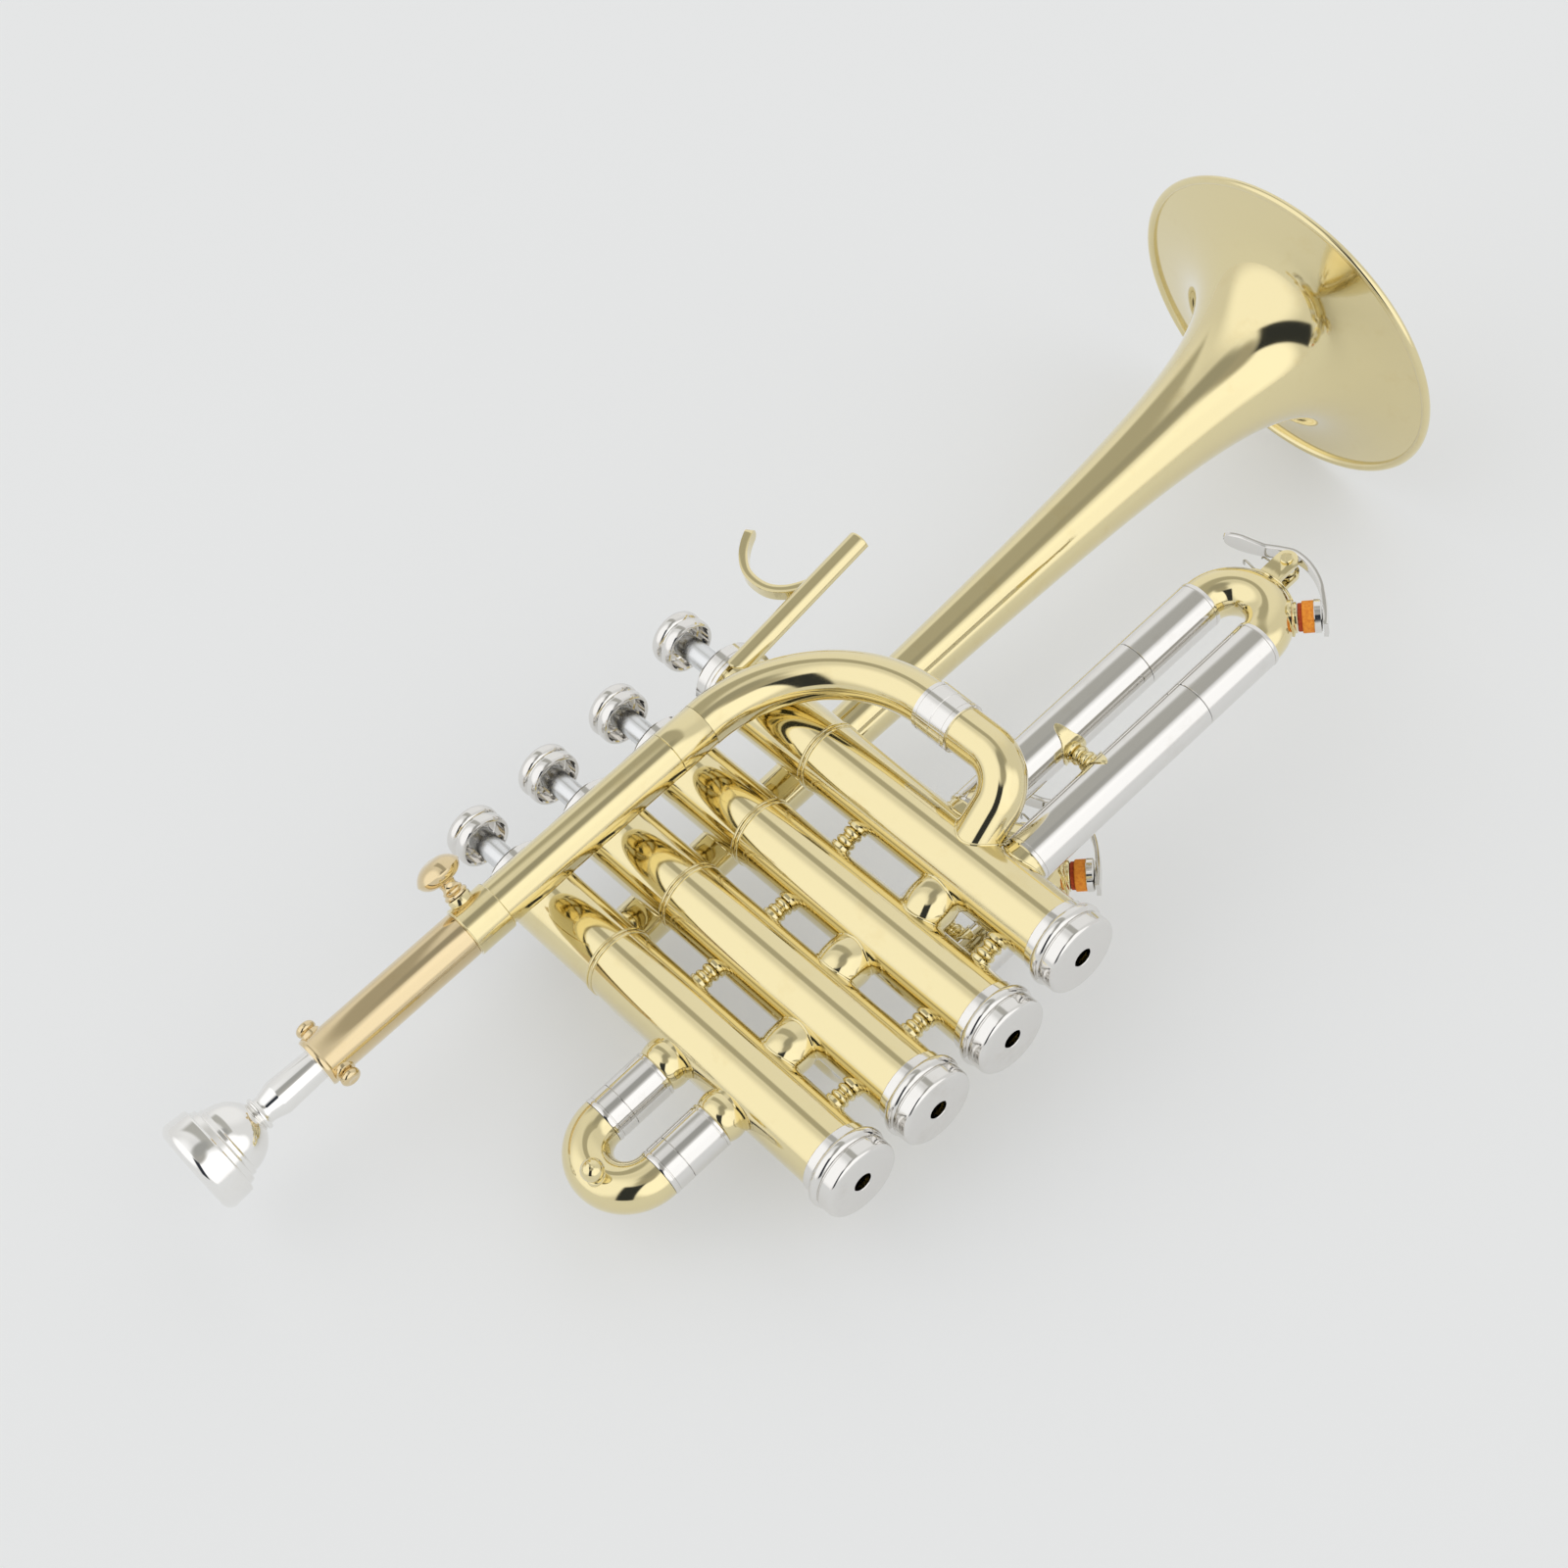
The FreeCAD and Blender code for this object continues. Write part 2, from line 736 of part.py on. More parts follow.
def bell_axis(y):
    return V(bell_x, y, bell_rim_z - (bell_rim_y - y) * bell_slope)


def bell_crook():
    corners = crook_corners()
    bends = [crook_bend, crook_elbow]
    outer = rod(corners, bends, bell_tube_r)
    end = corners[0]
    ahead = bell_axis(crook_joint + crook_ferrule_length)
    back = bell_axis(crook_joint - crook_collar_length)
    ferrule = ring(end, ahead, crook_ferrule_r, bell_tube_r + solder_gap)
    collar = ring(back, end, crook_ferrule_r, bell_tube_r - bell_wall)
    crook = outer.cut([rod(corners, bends, bore_r), casing_core(0)])
    return joined([crook, collar, ferrule])


def bell_radius(back):
    """The bell's radius at a distance back from its rim: a horn that ends at the tube's radius."""
    edge_r = bell_rim_r - 2 * bell_wire_r
    whole = bell_rim_y - bell_flare_start
    power = math.log(edge_r / bell_tube_r) / math.log(1 + whole / bell_flare_length)
    return edge_r * (bell_flare_length / (bell_flare_length + back)) ** power


def bell_outline():
    """Points on the flare, closer together towards the rim, as distance along and radius."""
    length = bell_rim_y - bell_flare_start
    points = []
    for step in range(bell_steps + 1):
        share = (step / bell_steps) ** bell_step_power
        points.append((length * share, bell_radius(length * share)))
    return points


def bell():
    """The flare and its tube, one thin spun skin, open at both ends."""
    rim = bell_axis(bell_rim_y)
    back = (bell_axis(crook_joint) - rim).normalize()
    reach = (bell_axis(crook_joint) - rim).Length
    flare = [V(radius, 0, along) for along, radius in bell_outline()]
    outer = Part.BSplineCurve()
    outer.interpolate(flare)
    inner_points = []
    for point in flare:
        slope = outer.tangent(outer.parameter(point))[0]
        normal = V(-slope.z, 0, slope.x)
        normal = normal * (1 if normal.x < 0 else -1)
        inner_points.append(point + normal.normalize() * bell_wall)
    inner = Part.BSplineCurve()
    inner.interpolate(inner_points)
    tube_outer = V(flare[-1].x, 0, reach)
    tube_inner = V(inner_points[-1].x, 0, reach)
    edges = [outer.toShape(),
             Part.LineSegment(flare[-1], tube_outer).toShape(),
             Part.LineSegment(tube_outer, tube_inner).toShape(),
             Part.LineSegment(tube_inner, inner_points[-1]).toShape(),
             inner.toShape(),
             Part.LineSegment(inner_points[0], flare[0]).toShape()]
    skin = Part.Face(Part.Wire(Part.__sortEdges__(edges))).revolve(ZERO, Z, full_turn_deg)
    skin.Placement = FreeCAD.Placement(rim, FreeCAD.Rotation(Z, back))
    return skin.cut(bell_rim_wire())


def bell_rim_wire():
    rim = bell_axis(bell_rim_y)
    out = rim - bell_axis(0)
    return Part.makeTorus(bell_rim_r - bell_wire_r, bell_wire_r, rim, out)


def lead(y):
    return V(lead_x, y, lead_z)


def leadpipe_shank():
    """The sliding pipe: receiver lip, visible part, and the thinner part inside the leadpipe."""
    mouth = shank_mouth
    outline = [(0, receiver_r + sliding_gap), (0, receiver_lip_r - cap_round),
               (cap_round, receiver_lip_r), (receiver_lip, receiver_lip_r),
               (receiver_lip, lead_r), (shank_shoulder - mouth, lead_r),
               (shank_shoulder - mouth, shank_inner_r), (shank_end - mouth, shank_inner_r),
               (shank_end - mouth, receiver_end_r + sliding_gap),
               (receiver_depth, receiver_end_r + sliding_gap)]
    body = turned(outline, lead(mouth), Y)
    start = lead(mouth + receiver_lip / 2 + knob_collar_r)
    knobs = []
    for turn_deg in knob_turns_deg:
        angle = math.radians(turn_deg)
        way = Z * math.sin(angle) + X * math.cos(angle)
        root = (receiver_r + lead_r) / 2
        top = lead_r + knob_height
        seat = lead_r + knob_collar
        middle = top - knob_ball_r
        seat_r = math.sqrt(knob_ball_r ** 2 - (middle - seat) ** 2)
        side = knob_ball_r / math.sqrt(2)
        knobs.append(turned([(root, 0), (root, knob_collar_r), (seat, knob_collar_r),
                             (seat, seat_r), (middle + side, side, top, 0)], start, way))
    return joined([body] + knobs)


def leadpipe_tube():
    return ring(lead(shank_shoulder + seat_gap), lead(lead_joint), lead_r,
                shank_inner_r + sliding_gap)


def clamp_screw_way():
    turn = math.radians(clamp_screw_turn_deg)
    return X * math.sin(turn) + Z * math.cos(turn)


def clamp_screw_foot():
    return lead(clamp_screw_y) + clamp_screw_way() * clamp_boss_reach


def clamp_collar():
    """The split ring round the end of the leadpipe, with the boss for its screw."""
    sleeve = cylinder(lead(clamp_start), lead(clamp_end), clamp_r)
    boss = cylinder(lead(clamp_screw_y), clamp_screw_foot(), clamp_boss_r)
    pipe_hole = cylinder(lead(clamp_start - overrun), lead(clamp_end + overrun),
                         lead_r + solder_gap)
    screw_hole = cylinder(lead(clamp_screw_y), clamp_screw_foot() + clamp_screw_way() * overrun,
                          clamp_screw_r + sliding_gap)
    return joined([sleeve, boss]).cut([pipe_hole, screw_hole])


def clamp_screw():
    """The thumb screw: shaft, flared foot, neck and round head."""
    foot = clamp_boss_reach + seat_gap
    tip = lead_r + loose_gap
    head = clamp_neck_reach
    outline = [(tip, 0), (tip, clamp_screw_r), (foot, clamp_screw_r), (foot, clamp_foot_r),
               (foot + clamp_foot, clamp_foot_r), (head - clamp_foot, clamp_neck_r),
               (head, clamp_neck_r), (head, clamp_head_r - clamp_head_round),
               (head + clamp_head_round, clamp_head_r),
               (head + clamp_head - clamp_head_round, clamp_head_r),
               (head + clamp_head, clamp_head_r - clamp_head_round), (head + clamp_head, 0)]
    return turned(outline, lead(clamp_screw_y), clamp_screw_way())


def leadpipe_bend():
    corners = [lead(lead_joint), lead(lead_leg_y), V(lead_x, lead_leg_y, ferrule_top)]
    return pipe(corners, [lead_bend], lead_r, bore_r)


def leadpipe_ferrule():
    top = V(lead_x, lead_leg_y, ferrule_top)
    return ring(V(lead_x, lead_leg_y, ferrule_bottom), top, ferrule_r, bore_r)


def leadpipe_elbow():
    foot = valve_foot(valve_count - 1) + Z * elbow_height
    corners = [V(lead_x, lead_leg_y, ferrule_bottom), V(lead_x, lead_leg_y, elbow_height),
               elbow_corner(), foot]
    bends = [elbow_bend, elbow_end_bend]
    return pipe(corners, bends, stub_r, bore_r).cut(casing_core(valve_count - 1))


def mouthpiece():
    """Rim, cup, throat and backbore, turned in one piece; measured back from its rim."""
    rim = mouth_rim_length
    step = rim + mouth_step_length
    bowl = step + mouth_bowl_length
    tip = shank_mouth + receiver_depth - mouth_tip_gap - mouth_rim_y
    socket = shank_mouth - mouth_rim_y
    crest = (mouth_rim_r + mouth_cup_r) / 2
    mid_bowl = step + mouth_bowl_length * mouth_bowl_bulge_share
    bulge_r = mouth_neck_r + (mouth_bowl_r - mouth_neck_r) * mouth_bowl_bulge_share
    throat = mouth_cup_depth
    outline = [(mouth_rim_round, mouth_cup_r), (0, crest, mouth_rim_round, mouth_rim_r),
               (rim - cap_round, mouth_rim_r), (rim, mouth_rim_r - cap_round),
               (rim, mouth_step_r), (step, mouth_step_r), (step, mouth_bowl_r),
               (mid_bowl, bulge_r, bowl, mouth_neck_r),
               (bowl + mouth_bead / 2, mouth_bead_r, bowl + mouth_bead, mouth_neck_r),
               (socket, receiver_r), (tip, receiver_end_r), (tip, mouth_backbore_r),
               (throat + mouth_throat_length, mouth_throat_r), (throat, mouth_throat_r),
               (throat * mouth_bowl_bulge_share, bulge_r - mouth_throat_r,
                mouth_rim_round, mouth_cup_r)]
    return turned(outline, lead(mouth_rim_y), Y)


def finger_hook():
    """A trough soldered along the fourth casing, with a hooked wire for the little finger."""
    back = casing_r + valve_4_aside + seat_gap
    axis_x = back + hook_rod_r
    start = V(axis_x, *hook_rod_start)
    end = V(axis_x, *hook_rod_end)
    trough = ring(start, end, hook_rod_r, hook_rod_r - hook_rod_wall)
    half = Part.makeBox(hook_rod_r, end.y - start.y + 2 * hook_rod_r, end.z - start.z + 4 * hook_rod_r)
    half.translate(V(back, start.y - hook_rod_r, start.z - 2 * hook_rod_r))
    corners = [V(hook_x, y, z) for y, z in hook_route]
    wire = rod(corners, hook_bends, hook_wire_r)
    tip = Part.makeSphere(hook_wire_r, corners[-1])
    return joined([trough.common(half), wire, tip])


def in_plane(slide, point, aside=0):
    """A place given along the slide and up from its bow's centre, and to the right."""
    middle = slide["foot"] + Y * slide["bow"] + Z * (sum(slide["heights"]) / 2)
    return middle + Y * point[0] + Z * point[1] + X * aside


def cup_start(slide):
    """The middle of the cup's mouth, where the cork begins at its outer end."""
    return in_plane(slide, (0, 0)) + cup_way() * (key_nipple_top + seat_gap + key_cork)


def cup_way():
    angle = math.radians(key_cup_angle_deg)
    return Y * math.cos(angle) + Z * math.sin(angle)


def key_post(slide):
    """Two pieces soldered to the bow: the forked post of the pivot and the drain nipple."""
    low = in_plane(slide, (key_post_start, key_pivot[1] - key_post_height / 2), -key_post_width / 2)
    length = key_pivot[0] - key_post_start
    block = Part.makeBox(key_post_width, length, key_post_height)
    block.translate(low)
    pivot = in_plane(slide, key_pivot)
    nose = cylinder(pivot - X * key_post_width / 2, pivot + X * key_post_width / 2,
                    key_post_height / 2)
    slot = Part.makeBox(key_hub_width + 2 * loose_gap, key_slot_depth + key_post_height,
                        key_post_height + 2 * overrun)
    slot.translate(V(pivot.x - key_hub_width / 2 - loose_gap, pivot.y - key_slot_depth,
                     pivot.z - key_post_height / 2 - overrun))
    hole = cylinder(pivot - X * key_post_width, pivot + X * key_post_width,
                    key_screw_r + solder_gap)
    post = joined([block, nose]).cut([slot, hole, slide_bow(slide, True)])
    centre = in_plane(slide, (0, 0))
    way = cup_way()
    nipple = ring(centre + way * key_nipple_start, centre + way * key_nipple_top,
                  key_nipple_r, key_nipple_hole_r).cut(slide_bow(slide, True))
    return [post, nipple]


def key_screw(slide):
    pivot = in_plane(slide, key_pivot)
    half = key_post_width / 2
    shaft = cylinder(pivot - X * (half + overrun), pivot + X * half, key_screw_r)
    head = cylinder(pivot + X * half, pivot + X * (half + key_screw_head), key_screw_head_r)
    return joined([shaft, head])


def strip(slide, points, width, thickness):
    """A bent strip of plate: straight runs with round knees, in the plane of the slide."""
    places = [in_plane(slide, point) for point in points]
    pieces = []
    for first, last in zip(places, places[1:]):
        along = last - first
        plate = Part.makeBox(width, thickness, along.Length)
        plate.translate(V(-width / 2, -thickness / 2, 0))
        angle = math.degrees(math.atan2(-along.y, along.z))
        plate.Placement = FreeCAD.Placement(first, FreeCAD.Rotation(X, angle)).multiply(
            plate.Placement)
        pieces.append(plate)
    for place in places[1:-1]:
        pieces.append(cylinder(place - X * width / 2, place + X * width / 2, thickness / 2))
    return pieces


def key_lever(slide):
    """One bent strip, thumb plate to arm, with the hub under its saddle and the cork's cup."""
    pivot = in_plane(slide, key_pivot)
    half = key_hub_width / 2
    hub = cylinder(pivot - X * half, pivot + X * half, key_hub_r)
    web = strip(slide, [key_pivot, key_route[key_saddle]], key_hub_width, key_thickness)
    plate = strip(slide, key_route[:2], key_thumb_width, key_thickness)
    arm = strip(slide, key_route[1:], key_arm_width, key_thickness)
    knee = in_plane(slide, key_route[1])
    knee_pin = cylinder(knee - X * key_arm_width / 2, knee + X * key_arm_width / 2,
                        key_thickness / 2)
    tip = in_plane(slide, key_route[0])
    across = X.cross((tip - knee).normalize())
    end = cylinder(tip - across * key_thickness / 2, tip + across * key_thickness / 2,
                   key_thumb_width / 2)
    start = cup_start(slide)
    cup = cylinder(start, start + cup_way() * key_cup, key_cup_r)
    hole = cylinder(pivot - X * key_post_width, pivot + X * key_post_width,
                    key_screw_r + sliding_gap)
    return joined([hub, cup, knee_pin, end] + web + plate + arm).cut(hole)


def key_cork_piece(slide):
    way = cup_way()
    start = in_plane(slide, (0, 0)) + way * (key_nipple_top + seat_gap)
    foot = cylinder(start, start + way * key_cork_foot, key_cork_foot_r)
    body = cylinder(start + way * key_cork_foot, cup_start(slide), key_cork_r)
    return joined([foot, body])


def key_spring(slide):
    """A small coil round the end of the pivot screw, outside the post, with one straight tail."""
    pivot = in_plane(slide, key_pivot)
    start = pivot - X * (key_post_width / 2 + key_spring_wire_r + seat_gap)
    radius = key_screw_r + key_spring_wire_r + seat_gap
    pitch = 2 * key_spring_wire_r + key_spring_gap
    points, tangents = helix(start, X * -1, Z, radius, pitch, key_spring_turns)
    edges = coil_edges(points, tangents)
    tail = points[-1] + tangents[-1] * key_post_height
    edges.append(Part.LineSegment(points[-1], tail).toShape())
    wire = Part.Wire(edges)
    print("water key spring, least gap", round(least_gap(wire, key_spring_wire_r, radius), 3))
    return swept(wire, points[0], tangents[0], key_spring_wire_r)


def sub_parts():
    """Every piece by name, as its own solid or a group of like solids."""
    parts = {
        "bell": [bell()],
        "bell_rim_wire": [bell_rim_wire()],
        "bell_crook": [bell_crook()],
        "crossover_tubes": [crossover(number) for number in range(valve_count - 1)],
        "body_stays": body_stays(),
        "valve_guides": [valve_guide(number) for number in range(valve_count)],
        "cap_felts": [cap_felt(number) for number in range(valve_count)],
        "slide_sleeves": slide_sleeves(),
        "slide_1_knob": [slide_1_knob()],
        "leadpipe_tube": [leadpipe_tube()],
        "leadpipe_shank": [leadpipe_shank()],
        "clamp_collar": [clamp_collar()],
        "clamp_screw": [clamp_screw()],
        "leadpipe_bend": [leadpipe_bend()],
        "leadpipe_ferrule": [leadpipe_ferrule()],
        "leadpipe_elbow": [leadpipe_elbow()],
        "mouthpiece": [mouthpiece()],
        "finger_hook": [finger_hook()],
    }
    for number in range(valve_count):
        name = str(number + 1)
        parts["casing_" + name] = [casing(number)]
        parts["top_cap_" + name] = [top_cap(number)]
        parts["bottom_cap_" + name] = [bottom_cap(number)]
        parts["piston_" + name] = [piston(number)]
        parts["button_" + name] = [button(number)]
        parts["valve_spring_" + name] = [valve_spring(number)]
    for number, slide in enumerate(slide_sets()):
        name = str(number + 1)
        parts["slide_legs_" + name] = slide_legs(slide)
        parts["slide_bow_" + name] = [slide_bow(slide)]
        if number >= 2:
            parts["water_key_" + name] = [key_lever(slide)]
            parts["water_key_cork_" + name] = [key_cork_piece(slide)]
            parts["water_key_post_" + name] = key_post(slide)
            parts["water_key_screw_" + name] = [key_screw(slide)]
            parts["water_key_spring_" + name] = [key_spring(slide)]
    return parts


def resting_places():
    """The three round edges that the trumpet lies on, as centre, axis, ring radius, edge radius."""
    rim = bell_axis(bell_rim_y)
    slide = slide_sets()[1]
    bow_middle = slide["foot"] + slide["way"] * slide["bow"] + Z * (sum(slide["heights"]) / 2)
    bow_r = (slide["heights"][0] - slide["heights"][1]) / 2
    crook_middle = V(bell_x, crook_bend, bell_axis(0).z - crook_bend)
    return [(rim, (rim - bell_axis(0)).normalize(), bell_rim_r - bell_wire_r, bell_wire_r),
            (bow_middle, Y, bow_r, tube_r),
            (crook_middle, X, crook_bend, bell_tube_r)]


def lowest(place, down):
    middle, axis, ring_r, edge_r = place
    across = down - axis * axis.dot(down)
    return middle + across.normalize() * ring_r + down * edge_r


def resting_way():
    """Turn and shift that lay the trumpet down: the plane under its three places becomes level."""
    up = (X + Y * lean_share).normalize()
    for attempt in range(resting_rounds):
        a, b, c = [lowest(place, up * -1) for place in resting_places()]
        up = (b - a).cross(c - a).normalize()
        up = up if up.x > 0 else up * -1
    forward = (Y - up * up.dot(Y)).normalize()
    side = forward.cross(up)
    rows = FreeCAD.Matrix(side.x, side.y, side.z, 0, forward.x, forward.y, forward.z, 0,
                          up.x, up.y, up.z, 0, 0, 0, 0, 1)
    return FreeCAD.Placement(rows), up.dot(a)


def main():
    os.makedirs("parts", exist_ok=True)
    turn, floor = resting_way()
    laid = {}
    for name, solids in sub_parts().items():
        shape = solids[0] if len(solids) == 1 else Part.makeCompound(solids)
        laid[name] = shape.transformed(turn.toMatrix(), True)
    box = FreeCAD.BoundBox()
    for shape in laid.values():
        box.add(shape.optimalBoundingBox(False, False))
    shift = V(-box.Center.x, -box.Center.y, -floor)
    for name, shape in laid.items():
        shape.translate(shift)
        shape.exportStep("parts/" + name + ".step")
    print("pieces", len(laid), "solids", sum(len(shape.Solids) for shape in laid.values()))
    print("box", box, "floor", floor)
    return laid, FreeCAD.Placement(shift, FreeCAD.Rotation()).multiply(turn)


laid_parts, rest_placement = main()
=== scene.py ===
import json
import math

import bpy
from mathutils import Matrix, Vector


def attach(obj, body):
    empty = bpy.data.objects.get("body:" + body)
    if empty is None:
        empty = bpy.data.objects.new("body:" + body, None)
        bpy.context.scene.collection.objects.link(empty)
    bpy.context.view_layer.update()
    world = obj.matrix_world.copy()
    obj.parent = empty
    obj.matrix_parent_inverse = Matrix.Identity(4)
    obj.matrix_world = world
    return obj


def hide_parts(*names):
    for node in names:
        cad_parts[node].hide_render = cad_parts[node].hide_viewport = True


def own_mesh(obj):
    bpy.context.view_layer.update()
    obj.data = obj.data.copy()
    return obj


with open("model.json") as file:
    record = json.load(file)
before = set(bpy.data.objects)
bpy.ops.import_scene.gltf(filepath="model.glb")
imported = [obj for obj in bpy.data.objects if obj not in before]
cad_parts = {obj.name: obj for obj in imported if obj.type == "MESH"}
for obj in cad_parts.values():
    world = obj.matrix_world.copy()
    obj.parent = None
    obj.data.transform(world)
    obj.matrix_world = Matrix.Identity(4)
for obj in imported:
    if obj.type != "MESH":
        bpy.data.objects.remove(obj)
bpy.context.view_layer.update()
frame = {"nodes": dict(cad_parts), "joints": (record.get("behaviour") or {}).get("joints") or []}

# The instrument on the bench. Its own millimetres run to the player's right, from the mouthpiece
# to the bell, and up through the buttons; the first valve's axis meets its bottom cap at zero.
# The valves' and fourth slide's joints give those directions as the trumpet lies on its side.
joints = {joint["name"]: joint for joint in frame["joints"]}
up = -Vector(joints["valve_1_press"]["axis"]).normalized()
right = Vector(joints["slide_4_pull"]["axis"]).cross(up).normalized()
forward = up.cross(right)
turn = Matrix((right, forward, up)).transposed()
hinge = Vector((22.8 + 9.2 * math.sin(math.radians(45)), -21.0, 117.3 + 9.2 * math.cos(math.radians(45))))
corner = Vector(joints["clamp_screw_turn"]["pos_m"]) - turn @ hinge * 0.001
lay = Matrix.Translation(corner) @ turn.to_4x4() @ Matrix.Scale(0.001, 4)


# The four valve casings are drawn brass tubes with a double bead turned near the top, threaded
# at both ends for the caps. Short stubs are silver-soldered to them for the slides.
casing_r, casing_bore, thread_r, stub_r, bore_r, tube_r = 10.0, 8.33, 9.4, 6.5, 5.7, 6.2
feet = [Vector((0, 0, 0)), Vector((0, 26, 0)), Vector((0, 52, 0)), Vector((6, 78, 0))]
X, Y, Z = Vector((1, 0, 0)), Vector((0, 1, 0)), Vector((0, 0, 1))


# Polished metal everywhere carries the same traces of handling: a faint cloudiness in the shine,
# hairlines from wiping, and a few dull finger marks. One group serves every metal of the trumpet.
def make_handling():
    group = bpy.data.node_groups.new("handling_marks", "ShaderNodeTree")
    put = group.interface.new_socket
    for name, kind, value in (("Shine", "NodeSocketFloat", 0.1), ("Cloud", "NodeSocketFloat", 0.04),
                              ("Hairlines", "NodeSocketFloat", 0.02), ("Depth", "NodeSocketFloat", 0.05),
                              ("Colour", "NodeSocketColor", (0.8, 0.8, 0.8, 1)),
                              ("Tarnish", "NodeSocketColor", (0.6, 0.6, 0.6, 1)),
                              ("Tarnish amount", "NodeSocketFloat", 0.2)):
        put(name=name, in_out="INPUT", socket_type=kind).default_value = value
    put(name="Colour", in_out="OUTPUT", socket_type="NodeSocketColor")
    put(name="Roughness", in_out="OUTPUT", socket_type="NodeSocketFloat")
    put(name="Height", in_out="OUTPUT", socket_type="NodeSocketFloat")
    nodes, link = group.nodes, group.links.new
    given, out = nodes.new("NodeGroupInput"), nodes.new("NodeGroupOutput")
    place = nodes.new("ShaderNodeTexCoord")
    cloud = nodes.new("ShaderNodeTexNoise")
    cloud.inputs["Scale"].default_value = 38
    cloud.inputs["Detail"].default_value = 5
    stretch = nodes.new("ShaderNodeMapping")
    stretch.inputs["Scale"].default_value = (1.0, 0.08, 1.0)
    lines = nodes.new("ShaderNodeTexNoise")
    lines.inputs["Scale"].default_value = 2600
    lines.inputs["Detail"].default_value = 2
    spots = nodes.new("ShaderNodeTexNoise")
    spots.inputs["Scale"].default_value = 90
    spots.inputs["Detail"].default_value = 8
    spots.inputs["Roughness"].default_value = 0.65
    for texture in (cloud, spots):
        link(place.outputs["Object"], texture.inputs["Vector"])
    link(place.outputs["Object"], stretch.inputs["Vector"])
    link(stretch.outputs["Vector"], lines.inputs["Vector"])

    def sum_up(kind, first, second, third=None):
        step = nodes.new("ShaderNodeMath")
        step.operation = kind
        for socket, value in zip(step.inputs, (first, second, third)):
            if isinstance(value, (int, float)):
                socket.default_value = value
            elif value is not None:
                link(value, socket)
        return step.outputs[0]

    centred = sum_up("SUBTRACT", cloud.outputs["Fac"], 0.5)
    rough = sum_up("MULTIPLY_ADD", centred, given.outputs["Cloud"], given.outputs["Shine"])
    streak = sum_up("SUBTRACT", lines.outputs["Fac"], 0.5)
    rough = sum_up("MULTIPLY_ADD", streak, given.outputs["Hairlines"], rough)
    mark = nodes.new("ShaderNodeMapRange")
    mark.inputs["From Min"].default_value = 0.56
    mark.inputs["From Max"].default_value = 0.74
    link(spots.outputs["Fac"], mark.inputs["Value"])
    dull = sum_up("MULTIPLY", mark.outputs["Result"], given.outputs["Tarnish amount"])
    rough = sum_up("MULTIPLY_ADD", dull, 0.25, rough)
    tint = nodes.new("ShaderNodeMix")
    tint.data_type = "RGBA"
    link(dull, tint.inputs["Factor"])
    link(given.outputs["Colour"], tint.inputs[6])
    link(given.outputs["Tarnish"], tint.inputs[7])
    link(tint.outputs[2], out.inputs["Colour"])
    link(rough, out.inputs["Roughness"])
    link(sum_up("MULTIPLY", lines.outputs["Fac"], given.outputs["Depth"]), out.inputs["Height"])
    return group


handling = make_handling()


def metal(name, colour, tarnish, amount, shine, cloud, hairlines, coat=0.0, coat_shine=0.05):
    finish = bpy.data.materials.new(name)
    finish.use_nodes = True
    nodes, link = finish.node_tree.nodes, finish.node_tree.links.new
    shader = nodes["Principled BSDF"]
    marks = nodes.new("ShaderNodeGroup")
    marks.node_tree = handling
    for socket, value in (("Colour", (*colour, 1)), ("Tarnish", (*tarnish, 1)), ("Tarnish amount", amount),
                          ("Shine", shine), ("Cloud", cloud), ("Hairlines", hairlines)):
        marks.inputs[socket].default_value = value
    bump = nodes.new("ShaderNodeBump")
    bump.inputs["Strength"].default_value = 0.06
    bump.inputs["Distance"].default_value = 0.00004
    link(marks.outputs["Colour"], shader.inputs["Base Color"])
    link(marks.outputs["Roughness"], shader.inputs["Roughness"])
    link(marks.outputs["Height"], bump.inputs["Height"])
    link(bump.outputs["Normal"], shader.inputs["Normal"])
    shader.inputs["Metallic"].default_value = 1.0
    shader.inputs["Coat Weight"].default_value = coat
    shader.inputs["Coat Roughness"].default_value = coat_shine
    shader.inputs["Coat IOR"].default_value = 1.8
    return finish


brass = metal("lacquered_brass", (0.80, 0.69, 0.37), (0.70, 0.53, 0.20), 0.25, 0.08, 0.04, 0.03, 0.9, 0.03)


def arc(first, middle, last, parts):
    """The points of an arc through three places of an outline, without its first."""
    a, b, c = Vector(first), Vector(middle), Vector(last)
    cross = 2 * ((b - a).x * (c - a).y - (b - a).y * (c - a).x)
    u, v = (b - a).length_squared, (c - a).length_squared
    centre = a + Vector(((c - a).y * u - (b - a).y * v, (b - a).x * v - (c - a).x * u)) / cross
    start = math.atan2((a - centre).y, (a - centre).x)
    sweep = (math.atan2((c - centre).y, (c - centre).x) - start) % math.tau
    through = (math.atan2((b - centre).y, (b - centre).x) - start) % math.tau
    if through > sweep:
        sweep -= math.tau
    reach = (a - centre).length
    return [(centre.x + reach * math.cos(start + sweep * step / parts),
             centre.y + reach * math.sin(start + sweep * step / parts)) for step in range(1, parts + 1)]


def aimed(start, way):
    """The place of a piece that stands on start and points along way."""
    return Matrix.Translation(start) @ Vector(way).to_track_quat("Z", "Y").to_matrix().to_4x4()


def settled(piece, place):
    piece.matrix_world = place
    bpy.ops.object.transform_apply(location=True, rotation=True, scale=True)
    return piece


def faces_out(merge=0.0):
    """Closes the active piece's doubled corners and turns all of its faces outwards."""
    bpy.ops.object.mode_set(mode="EDIT")
    bpy.ops.mesh.select_all(action="SELECT")
    if merge:
        bpy.ops.mesh.remove_doubles(threshold=merge)
    bpy.ops.mesh.normals_make_consistent(inside=False)
    bpy.ops.object.mode_set(mode="OBJECT")


